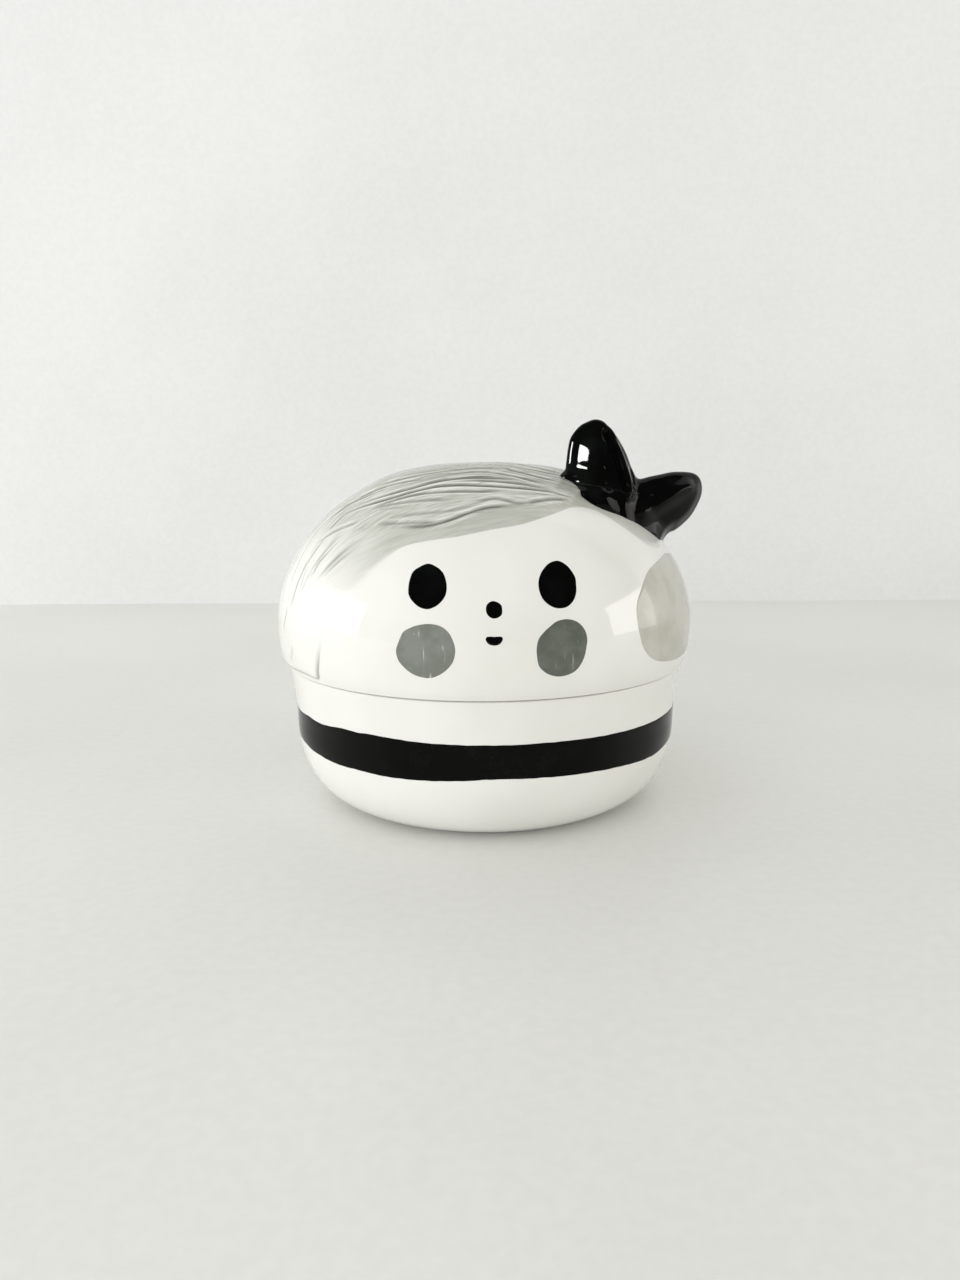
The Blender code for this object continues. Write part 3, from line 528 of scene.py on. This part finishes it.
# Strength of the wash: it thins down the left side and the back, is strongest on top, and is weak beside the
# bow and along its own edge
left, far_left = smooth(azimuth, -22, -44), smooth(azimuth, -48, -64)
wash = 0.93 - 0.88 * left * (1 - smooth(run, 15 + 9 * far_left, 46))
behind = np.maximum(smooth(azimuth, 52, 64), smooth(azimuth, -100, -140))
wash = wash + behind * (0.1 + 0.83 * smooth(run, 11, 43) - wash)
wash = wash * (1 + 0.62 * smooth(run, 48, 64)) * (1 - 0.25 * (1 - lock) * smooth(azimuth, 44, 54))
wash = wash * (0.2 + 0.8 * smooth(in_wash, -0.1, 0.25 + 4 * left * smooth(run, 10, 20)))
# Along the lower edge of the left lock tip, a dark line: wash gathered at the edge, and painted shade of the
# undercut below it
tip_pool_and_shade = bell(in_lock, 0.15, 0.45) * smooth(azimuth, -42, -46) * smooth(run, 12, 4)
# Pale lines on the ridges beside the grooves: wash that breaks off the ridges, and a painted highlight where
# they catch the light
pale = 0.6 * np.clip(broken_and_highlit - 1.6 * pooled_and_painted_light, 0, 1) * lock
pooled_and_painted_light = np.clip(pooled_and_painted_light * lock + 0.75 * tip_pool_and_shade, 0, 1) - pale

# The sheet's back, 0.7 mm inside the porcelain's surface, then its face. The field strand holds the heading
# as a point of a circle and the reach shortened to 0.12, so that noise over it is drawn out along the strands
rows, columns = len(hair_run), len(hair_azimuth)
hair_outer = on_lid(azimuth, run, lift).reshape(rows, columns, 3)
inner_run = np.linspace(CROWN, 0.95, 9)[:, None]
hair_inner = on_lid(hair_azimuth[None], inner_run, -0.7)
hair_inner[0] = hair_inner[0].mean(0)
hair_outer[-1] = hair_outer[-1].mean(0)
fields = {"pooled_and_painted_light": pooled_and_painted_light, "wash": wash, "lock": lock,
          "strand": np.stack([np.cos(heading), np.sin(heading), 0.12 * reach], -1)}
for field, values in fields.items():
    face = values.reshape(rows, columns, *values.shape[1:])
    fields[field] = np.concatenate([np.zeros((len(inner_run), *face.shape[1:])), face])


def washed_hair():
    """White porcelain under a watery grey, glazed over: streaked along the strands, dark where the wash
    gathers in the grooves, white at the tips, and with thin hairlines where it is strong.
    The pale lines beside the grooves are wash that breaks off the ridges and a painted highlight, and the
    dark line under the left lock tip is gathered wash and painted shade. Both come in the same field as the
    grooves' wash, the pale lines below zero.
    Noise over the field strand runs along the strands: 46, 30 and 13 waves to a radian of heading make
    streaks about 1, 1.5 and 3 mm wide on the crown."""
    material, tree, shader, place = new_finish("grey washed and clear glazed relief")
    strand = add_node(tree, "ShaderNodeAttribute", output="Vector", attribute_name="strand")
    wash, pooled_and_painted_light, lock = [add_node(tree, "ShaderNodeAttribute", output="Fac", attribute_name=field)
                          for field in ("wash", "pooled_and_painted_light", "lock")]
    drawn = add_node(tree, "ShaderNodeMapping", {"Vector": strand, "Scale": (1.0, 1.0, 0.3)})
    fine, broad, thread = [
        add_node(tree, "ShaderNodeTexNoise", {"Vector": where, "Scale": scale, "Detail": detail})
        for where, scale, detail in ((strand, 46.0, 3.0), (strand, 13.0, 2.0), (drawn, 30.0, 1.0))]
    off_thread = add_node(tree, "ShaderNodeMath", {0: thread, 1: 0.5}, operation="SUBTRACT")
    off_thread = add_node(tree, "ShaderNodeMath", {0: off_thread}, operation="ABSOLUTE")
    fine_streak, broad_streak, in_locks, pale, hairline, brushed, depth = [
        add_node(tree, "ShaderNodeMapRange", {0: value, 1: low, 2: high, 3: faint, 4: full},
                 interpolation_type="SMOOTHSTEP")
        for value, low, high, faint, full in (
            (fine, 0.3, 0.7, -0.24, 0.22), (broad, 0.3, 0.7, -0.2, 0.18), (lock, 0.1, 0.9, 0.35, 1.0),
            (pooled_and_painted_light, -0.55, -0.02, 0.75, 0.0), (off_thread, 0.004, 0.03, 0.6, 0.0),
            (wash, 0.4, 1.4, 0.0, 1.0), (wash, 0.0, 0.8, 0.65, 0.95))]
    amount = fine_streak
    for operation, value in (("ADD", broad_streak), ("MULTIPLY", in_locks), ("ADD", 1.0), ("MULTIPLY", wash)):
        amount = add_node(tree, "ShaderNodeMath", {0: amount, 1: value}, operation=operation)
    amount = add_node(tree, "ShaderNodeMapRange", {0: amount, 1: -0.15, 2: 1.55, 3: 0.0, 4: 1.0},
                      interpolation_type="SMOOTHSTEP")
    # Dark lines: the hairlines and the wash in the grooves, with painted shade along the left lock tip's
    # lower edge
    dark = hairline
    for operation, value in (("MULTIPLY", brushed), ("MULTIPLY", in_locks), ("MAXIMUM", pooled_and_painted_light),
                             ("MULTIPLY", depth)):
        dark = add_node(tree, "ShaderNodeMath", {0: dark, 1: value}, operation=operation)
    # The pale tone beside the grooves is partly a painted highlight on the ridges
    colour = linear("F1F1EC")
    for share, tone in ((amount, "A3A599"), (pale, "EDEEE8"), (dark, "50534A")):
        colour = add_node(tree, "ShaderNodeMix", {0: share, 6: colour, 7: linear(tone)}, 2, data_type="RGBA")
    relief = add_node(tree, "ShaderNodeMath", {0: fine, 1: lock}, operation="MULTIPLY")
    fill(tree, shader, {
        "Base Color": colour,
        "Roughness": clouds(tree, place, 6, 2.0, 0.3, 0.7, 0.07, 0.13),
        "IOR": 1.50,
        "Normal": add_node(tree, "ShaderNodeBump", {"Height": relief, "Strength": 0.5, "Distance": 0.00007}),
    })
    return material


hair_points = np.concatenate([hair_inner, hair_outer])
hair = add_surface("hair_relief", hair_points, "lid", washed_hair(), fields=fields)
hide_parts("hair")

# The side lock. A flat oval of the same wash painted beside the right cheek and round the side, paler and
# without relief, cloudy from a wet brush. A lens-thin sheet over the porcelain, drawn ring by ring inward
# from its outline.


def loop_through(points, pieces):
    """Catmull-Rom curve through points that closes on itself, with each span cut into pieces."""
    around = np.vstack([points[-2:], points, points[:3]])
    return curve_through(around, pieces)[2 * pieces:(2 + len(points)) * pieces]


def painted_patch(name, outline, lift, finish, rings=14, by_height=False):
    """Sheet over the lid inside a closed outline of azimuths and runs, or of heights above the seam: each
    ring is the outline drawn in towards the middle. Three rings lie hidden behind it, the outline sinks
    0.03 mm under the porcelain, and the middle is lift mm proud."""
    outline = np.array(outline, float)
    if by_height:
        outline[:, 1] = np.interp(outline[:, 1] + SEAM, LID[2], LID[0])
    middle = outline.mean(0)
    looped = loop_through(outline, 8)
    if np.sum(looped[:, 0] * np.roll(looped[:, 1], -1) - np.roll(looped[:, 0], -1) * looped[:, 1]) < 0:
        looped = looped[::-1]
    share = np.concatenate([[0.0, 0.5, 0.97, 1.0], 1 - np.linspace(0.03, 1, rings) ** 1.6])
    # A degree of azimuth is about 0.9 mm of surface
    inward = (1 - share) * min(0.9 * np.ptp(looped[:, 0]), np.ptp(looped[:, 1])) / 2
    height = lift * smooth(inward, 0, 0.35) - 0.03 * smooth(inward, 0.12, 0)
    height[:3] = -0.5
    spots = middle + share[:, None, None] * (looped - middle)
    points = on_lid(spots[..., 0], spots[..., 1], height[:, None])
    edge = np.repeat(inward[:, None], len(looped), 1)
    return add_surface(name, points, "lid", finish, fields={"inward": edge})


def painted_grey(name, light, dark, cloud_mm, bristle_and_reflection_flecks, reflect=1.45):
    """Grey underglaze laid with a soft brush under the clear glaze: clouds of two greys, a darker rim where
    the wet colour stopped, and fine pale bristle marks.
    The field inward is the distance from the outline in mm. The marks are drawn 0.9 mm apart, coarser than
    real ones, so that they show.
    Where they are strong they are also painted flecks of reflected light."""
    material, tree, shader, place = new_finish(name)
    cloudy = clouds(tree, place, cloud_mm, 3.0, 0.35, 0.65)
    inward = add_node(tree, "ShaderNodeAttribute", output="Fac", attribute_name="inward")
    rim = add_node(tree, "ShaderNodeMapRange", {0: inward, 1: 0.05, 2: 0.5, 3: 0.25, 4: 0.0},
                   interpolation_type="SMOOTHSTEP")
    inputs = {"Vector": place, "Rotation": (0.3, 0.9, 0.5), "Scale": (1.0, 1.0, 0.12)}
    bristles = clouds(tree, add_node(tree, "ShaderNodeMapping", inputs), 0.9, 3.0, 0.62, 0.74, 0.0, bristle_and_reflection_flecks)
    colour = linear(light)
    for share, tone in ((cloudy, dark), (rim, dark), (bristles, "E4E4DE")):
        colour = add_node(tree, "ShaderNodeMix", {0: share, 6: colour, 7: linear(tone)}, 2, data_type="RGBA")
    fill(tree, shader, {
        "Base Color": colour,
        "Roughness": clouds(tree, place, 5, 2.0, 0.3, 0.7, 0.07, 0.12),
        "IOR": reflect,
        "Normal": glaze_bump(tree, place, 0.006, 3.0),
    })
    return material


# Azimuth and height above the seam
SIDE_LOCK = [
    (70, 27.7), (64.4, 27.7), (54.3, 26.3), (48.3, 24.6), (43.3, 21.4), (40.3, 18.3), (39.8, 14), (41.2, 9.8),
    (44.1, 6.9), (48.8, 5), (57.5, 3.8), (64.3, 3.7), (73, 4), (82, 5.6), (89, 8.6), (93, 12.5), (94, 16.5),
    (91.5, 20.6), (86, 24.2), (78, 26.6)]
side_finish = painted_grey("cloudy grey wash", "C8C7BE", "B8B7AC", 9, 0.10)
side_lock = painted_patch("side_lock_wash", SIDE_LOCK, 0.05, side_finish, rings=26, by_height=True)
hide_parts("side_lock")

# The face. Two oval eyes, a round nose and a small open mouth in black glaze, and two grey cheeks, each
# brushed on by hand, so no outline is true. Each is drawn by the azimuths and runs of its painted edge.

FACE = {
    "eye_left": [
        (-9.5, 25.1), (-9.9, 26.7), (-10.9, 28.4), (-12.8, 29.7), (-15.2, 30.4), (-17.4, 29.6), (-19, 28.4),
        (-19.5, 26.6), (-19.5, 24.9), (-19.1, 23.1), (-17.7, 21.6), (-15.8, 20.5), (-13.7, 20.2),
        (-11.8, 20.9), (-10.4, 22.1), (-9.6, 23.5)],
    "eye_right": [
        (23.2, 25), (23.4, 26.6), (22.8, 28.2), (21.7, 29.7), (19.6, 30.8), (16.9, 30.3), (14.8, 28.8),
        (13.5, 27.1), (13, 25.4), (13.1, 23.7), (13.8, 22.1), (15.3, 20.8), (17.3, 20.1), (19.7, 20.3),
        (21.7, 21.6), (22.8, 23.3)],
    "nose": [
        (3.9, 20.2), (3.7, 21.3), (2.7, 22), (1.4, 22.2), (0.2, 21.5), (-0.1, 20.3), (0.3, 19.2), (1.3, 18.5),
        (2.6, 18.5), (3.7, 19.2)],
    "mouth": [
        (3.95, 14.1), (3.75, 14.75), (2.7, 14.83), (1.8, 14.8), (0.9, 14.85), (0, 14.75), (-0.25, 14.1),
        (0.3, 13.3), (0.9, 13), (1.6, 12.85), (2.2, 12.85), (2.9, 13), (3.45, 13.35)],
}
face_black = black_gloss("painted black glaze", 1.22, 0.06)
for node, outline in FACE.items():
    mark = painted_patch(node + "_coat", outline, 0.06, face_black)
    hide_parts(node)

# Two greys, how strongly the pale marks show, which are bristle marks and also painted flecks of reflected
# light, and the outline
CHEEKS = {
    "cheek_left": ("848781", "787B74", 0.5, [
        (-6.9, 11.8), (-7.4, 13.8), (-8.6, 15.7), (-10.5, 16.9), (-12.9, 17.3), (-15.2, 17.1), (-17.4, 16.5),
        (-19.6, 15.3), (-20.6, 13.3), (-21.3, 11.2), (-20.7, 9.1), (-19.1, 7.5), (-17.3, 6.4), (-15.2, 5.8),
        (-12.9, 5.7), (-10.7, 6.5), (-8.8, 7.8), (-7.4, 9.6)]),
    "cheek_right": ("6A6E66", "5E635B", 0.2, [
        (24, 11.4), (24.3, 13.4), (23.7, 15.5), (21.9, 17.2), (19.4, 17.9), (16.8, 17.6), (14.8, 16.5),
        (13.3, 15.4), (12, 14), (11.5, 12.2), (11.6, 10.2), (12.2, 8.1), (14.1, 6.5), (16.6, 5.7),
        (19.1, 5.8), (21.3, 6.6), (22.7, 8), (23.6, 9.7)]),
}
for node, (light, dark, bristle_and_reflection_flecks, outline) in CHEEKS.items():
    cheek_finish = painted_grey("brushed grey " + node, light, dark, 3.5, bristle_and_reflection_flecks, 1.35)
    mark = painted_patch(node + "_coat", outline, 0.05, cheek_finish)
    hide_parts(node)

# The bow. Modelled by hand in clay and luted to the head over the start of the strands: a tall lobe that
# leans left, a broad one that reaches right and a small lump at the left foot, under deep black gloss. Drawn
# in its own upright plane as rings from the middle out to the rim, once for its back and once for its front.

# Distance along the bow, height above the table and depth towards the viewer, in mm
BOW_RIM = np.array([
    (22.1, 78.4, -1.2), (21.2, 80.3, -1.0), (19.5, 81.4, -0.8), (16.6, 81.8, -0.4), (12.9, 81.8, 0.1),
    (9.3, 81.3, 0.7), (6, 80.8, 1.2), (4, 80.4, 1.5), (2.8, 80.4, 1.8), (1.8, 81, 1.9), (0.9, 82.7, 1.7),
    (0.4, 84, 1.4), (-0.4, 86.4, 0.9), (-1.6, 88.8, 0.4), (-3.1, 91.1, -0.1), (-4.6, 92.7, -0.4),
    (-5.8, 93.8, -0.8), (-7.5, 94.15, -1.2), (-9.2, 93.6, -1.8), (-11, 92.5, -2.4), (-12.8, 90.1, -2.9),
    (-13.5, 87.4, -3.0), (-14.1, 83.9, -2.7), (-14.5, 82.6, -2.4), (-15.9, 81.3, -2.1), (-15.9, 80.3, -1.8),
    (-15, 79.4, -0.4), (-15.4, 77.1, 1.7), (-13.5, 71.8, 3.2), (-9.4, 66.5, 3.4), (-3.8, 62.6, 4.0),
    (2.5, 61.6, 3.2), (8.3, 62.1, 0.8), (12.1, 65.6, -1.6), (13.7, 66.9, -2.0), (15.4, 67.5, -2.1),
    (17.4, 68.9, -1.9), (19.6, 71.1, -1.6), (21.3, 74, -1.4), (22.1, 76.2, -1.3)])
BOW_MIDDLE, MIDDLE_DEPTH = np.array([0.0, 77.0]), 3.4
LEFT_CREASE = np.array([(-6.6, 92.4), (-5.8, 90.3), (-4.8, 86.6), (-3.8, 82.5), (-3.0, 78.1)])
NOTCH_CREASE = np.array([(-0.1, 84.0), (-0.1, 81.5), (-0.2, 79.2)])
RIGHT_RIDGE = np.array([
    (-1.6, 72.3), (2.7, 73.2), (5.7, 74.0), (8.8, 75.6), (12.1, 77.2), (15.1, 78.6), (18.6, 79.8)])
# Where the bow's plane stands and how far it is turned, how deep the bow may reach into the lid, and the
# rounding of its edge
BOW_PLACE, BOW_TURN, BED, EDGE_ROUND = np.array([33.43, -13.37, 0]), math.radians(20), 0.9, 1.1


def lid_clearance(points):
    """Height of each point above the lid's outside in mm, which is how far it lies along the normal of the
    nearest point of the outline, and the outward direction there."""
    radius = np.hypot(points[:, 0], points[:, 1])
    outline = LID[:, ::12]
    gap = (radius[:, None] - outline[1]) ** 2 + (points[:, 2:] - outline[2]) ** 2
    _, near_radius, near_height, out, up = outline[:, gap.argmin(1)]
    height = (radius - near_radius) * out + (points[:, 2] - near_height) * up
    share = out / np.maximum(radius, 1e-6)
    return height, np.stack([points[:, 0] * share, points[:, 1] * share, up], -1)


rim = loop_through(BOW_RIM, 10)
ring = 1 - np.linspace(1, 0, 66) ** 2.0
spot = BOW_MIDDLE + ring[:, None, None] * (rim[None, :, :2] - BOW_MIDDLE)
flat_spots = spot.reshape(-1, 2)
across, level = flat_spots.T
spine = (MIDDLE_DEPTH + (rim[None, :, 2] - MIDDLE_DEPTH) * ring[:, None] ** 1.5).ravel()
from_rim, _ = to_path(flat_spots, np.vstack([rim[:, :2], rim[:1, :2]]))
crease_gap, crease_share = to_path(flat_spots, LEFT_CREASE)
notch_gap, notch_share = to_path(flat_spots, NOTCH_CREASE)
ridge_gap, ridge_share = to_path(flat_spots, RIGHT_RIDGE)
right_of_crease = across > np.interp(level, LEFT_CREASE[::-1, 1], LEFT_CREASE[::-1, 0])
below_ridge = -ridge_gap * np.sign(level - np.interp(across, RIGHT_RIDGE[:, 0], RIGHT_RIDGE[:, 1]))
crease = smooth(np.minimum(crease_share, 1.15 - crease_share), 0, 0.2)
ridge = smooth(np.minimum(ridge_share, 1 - ridge_share), 0, 0.15)
left_part, right_part = smooth(across, 1, -4), smooth(across, 2, 7)

# How far the clay swells in front: the tall lobe and its left flank, the broad lobe and the left foot
low = smooth(level, 92, 72)
flank = smooth(across, -6, -10) * smooth(level, 72, 84)
swell = (1.5 + 1.6 * low) * np.sqrt(smooth(from_rim, 0, 7.0)) + 2.0 * flank * smooth(from_rim, 0.9, 4.6)
broad_swell = (1.5 + 0.5 * smooth(level, 76, 67)) * smooth(from_rim, 0, 4.0)
swell = swell * left_part + broad_swell * (1 - left_part)
swell = swell + 2.3 * smooth(across, -3, -14) * smooth(level, 83, 74) * smooth(from_rim, 0, 2)

# What lies on the swell: the groove inside the tall lobe's rim, the fold down it with its lip on the right,
# the notch between the lobes, the ridge along the broad lobe with the hollow above it, the dent in the middle
# and a few faint ripples on the tall lobe
edge = np.sqrt(1 - (1 - np.clip(from_rim / EDGE_ROUND, 0, 1)) ** 2)
front = 0.9 * edge + swell - 0.2 * bell(from_rim, 1.5, 0.4) * left_part
front = front - 1.1 * crease * bell(crease_gap, 0, 0.65)
front = front + 0.6 * crease * bell(crease_gap, 1.6, 0.8) * right_of_crease * smooth(crease_gap, 0.2, 1.0)
front = front - 0.4 * smooth(notch_share, 0, 0.3) * bell(notch_gap, 0, 0.5) * smooth(from_rim, 0.4, 1.2)
front = front + ridge * np.where(below_ridge > 0, smooth(below_ridge, 4.0, 0), bell(below_ridge, 0, 1.3))
front = front - 0.9 * right_part * smooth(from_rim, 0.3, 2.5) * bell(below_ridge, -4.2, 2.4)
front = front - 0.8 * bell(across, 1.2, 2) * bell(level, BOW_MIDDLE[1], 2)
ripples = np.sin(2.6 * (level + 0.5 * across))
front = front + 0.1 * ripples * bell(across, -12.5, 1.6) * bell(level, 80.5, 2.4)
back = 0.9 * edge + (0.8 + 2.2 * low) * smooth(from_rim, 0, 6)

along_bow = np.array([math.cos(BOW_TURN), math.sin(BOW_TURN), 0])
forward = np.array([math.sin(BOW_TURN), -math.cos(BOW_TURN), 0])
sides = [BOW_PLACE + spot[..., :1] * along_bow + depth.reshape(spot[..., :1].shape) * forward
         + spot[..., 1:] * (0, 0, 1) for depth in (spine - back, spine + front)]
bow_points = np.concatenate([sides[0], sides[1][-2::-1]])
flat_points = bow_points.reshape(-1, 3)
height, outward = lid_clearance(flat_points)
flat_points = flat_points + outward * np.maximum(-BED - height, 0)[:, None]
bow_glaze = black_gloss("deep black glaze", 1.2, 0.03)
bow = add_surface("bow_body", flat_points.reshape(bow_points.shape), "lid", bow_glaze)
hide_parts("hair_bow")

# The table and the wall. A pale painted board that the box stands on and a pale plastered wall 32 cm
# behind it, both plain and faintly clouded. They are the set and no part of the object.


def plain_ground(name, corners, tone, second, rough):
    """A flat sheet in matt emulsion paint that varies slowly between two tones and is finely speckled."""
    material, tree, shader, place = new_finish(name + " paint")
    cloudy = clouds(tree, place, 160, 4.0, 0.35, 0.65)
    speckle = clouds(tree, place, 2.5, 4.0, 0.3, 0.7, -0.012, 0.012)
    colour = add_node(tree, "ShaderNodeMix", {0: cloudy, 6: linear(tone), 7: linear(second)}, 2,
                      data_type="RGBA")
    fill(tree, shader, {
        "Base Color": add_node(tree, "ShaderNodeBrightContrast", {"Color": colour, "Bright": speckle}),
        "Roughness": rough,
        "Normal": glaze_bump(tree, place, 0.05, 9),
    })
    mesh = bpy.data.meshes.new(name)
    mesh.from_pydata(corners, [], [(0, 1, 2, 3)])
    mesh.materials.append(material)
    sheet = bpy.data.objects.new(name, mesh)
    bpy.context.scene.collection.objects.link(sheet)


# Half the set's width, the table's front edge, the wall's distance and its height, in metres
SIDE, FRONT, WALL_AT, WALL_TOP = 1.6, -1.4, 0.321, 1.5
near, far = [[(-SIDE, y, 0), (SIDE, y, 0)] for y in (FRONT, WALL_AT)]
plain_ground("table_top", near + far[::-1], "EBEBE8", "E6E6E3", 0.42)
plain_ground("wall", far + [(SIDE, WALL_AT, WALL_TOP), (-SIDE, WALL_AT, WALL_TOP)], "E8E9E8", "E4E5E4", 0.8)

# The light. Daylight from a window on the left and a stronger, warmer one on the right, soft light from above
# and from low in front, and a pale room that glossy surfaces see darker, so that the black glaze stays black.
# The left window's light isn't cast on the bow, which has a small lamp of its own for the glint on its lobe.


def window_light(name, azimuth, distance, height, width, tall, power, tint):
    """Rectangular lamp at an azimuth and distance from the box and a height in metres, facing the box."""
    lamp = bpy.data.lights.new(name, "AREA")
    lamp.shape = "RECTANGLE"
    lamp.size, lamp.size_y = width, tall
    lamp.energy = power
    lamp.color = tint
    holder = bpy.data.objects.new(name, lamp)
    turn = math.radians(azimuth)
    spot = Vector((distance * math.sin(turn), -distance * math.cos(turn), height))
    facing = (Vector((0, 0, 0.05)) - spot).to_track_quat("-Z", "Y")
    holder.matrix_world = Matrix.Translation(spot) @ facing.to_matrix().to_4x4()
    bpy.context.scene.collection.objects.link(holder)
    return holder


# Azimuth, distance, height, the lamp's width and height, watts, and colour
window = window_light("left_window", -85, 1.2, 0.28, 0.72, 0.5, 2.5, (1.0, 1.0, 0.99))
window_light("right_window", 88, 1.5, 0.3, 1.0, 0.56, 5.8, (1.0, 0.975, 0.93))
ceiling = window_light("ceiling", -15, 0.8, 1.4, 2.4, 2.0, 3.4, (1.0, 1.0, 1.0))
room = window_light("bright_room", -34, 1.4, 0.35, 1.8, 0.5, 9.2, (1.0, 1.0, 0.99))
for lamp in (ceiling, room):
    lamp.visible_glossy = False
glint = window_light("bow_glint", -76, 1.05, 0.33, 0.17, 0.24, 14.0, (1.0, 1.0, 1.0))
for lamp, state in ((glint, "INCLUDE"), (window, "EXCLUDE")):
    linked = bpy.data.collections.new(lamp.name + " and the bow")
    linked.objects.link(bow)
    linked.collection_objects[0].light_linking.link_state = state
    lamp.light_linking.receiver_collection = linked

# The room is brighter on the left, and a mirror sees it as an even dark grey
world = bpy.data.worlds.new("pale room")
world.use_nodes = True
bpy.context.scene.world = world
tree = world.node_tree
glossy = add_node(tree, "ShaderNodeLightPath", output="Is Glossy Ray")
way = add_node(tree, "ShaderNodeTexCoord", output="Generated")
leftward = add_node(tree, "ShaderNodeVectorMath", {0: way, 1: (-0.85, -0.5, -0.15)}, "Value",
                    operation="DOT_PRODUCT")
share = add_node(tree, "ShaderNodeMapRange", {0: leftward, 1: -1.0, 2: 1.0, 3: 0.0, 4: 1.0},
                 interpolation_type="SMOOTHSTEP")
daylight = add_node(tree, "ShaderNodeMix", {0: share, 6: linear("CCCAC2"), 7: linear("FDFDFD")}, 2,
                    data_type="RGBA")
shade = add_node(tree, "ShaderNodeMix", {0: glossy, 6: daylight, 7: linear("5A5A5A")}, 2, data_type="RGBA")
fill(tree, tree.nodes["Background"], {"Color": shade, "Strength": 0.73})

# The camera. A phone held 25 cm from the box and a little above it, tilted 11 degrees down, with the field
# of view of a phone's main lens, as in the photograph.

lens = bpy.data.cameras.new("camera")
lens.lens, lens.sensor_width, lens.clip_start = 27.03, 36, 0.01
camera = bpy.data.objects.new("camera", lens)
look = Matrix.Rotation(math.radians(90 - 10.89), 4, "X") @ Matrix.Rotation(-0.005, 4, "Z")
camera.matrix_world = Matrix.Translation((-0.00125, -0.2457, 0.08605)) @ look
bpy.context.scene.collection.objects.link(camera)
bpy.context.scene.camera = camera
bpy.context.scene.view_settings.view_transform = "Standard"
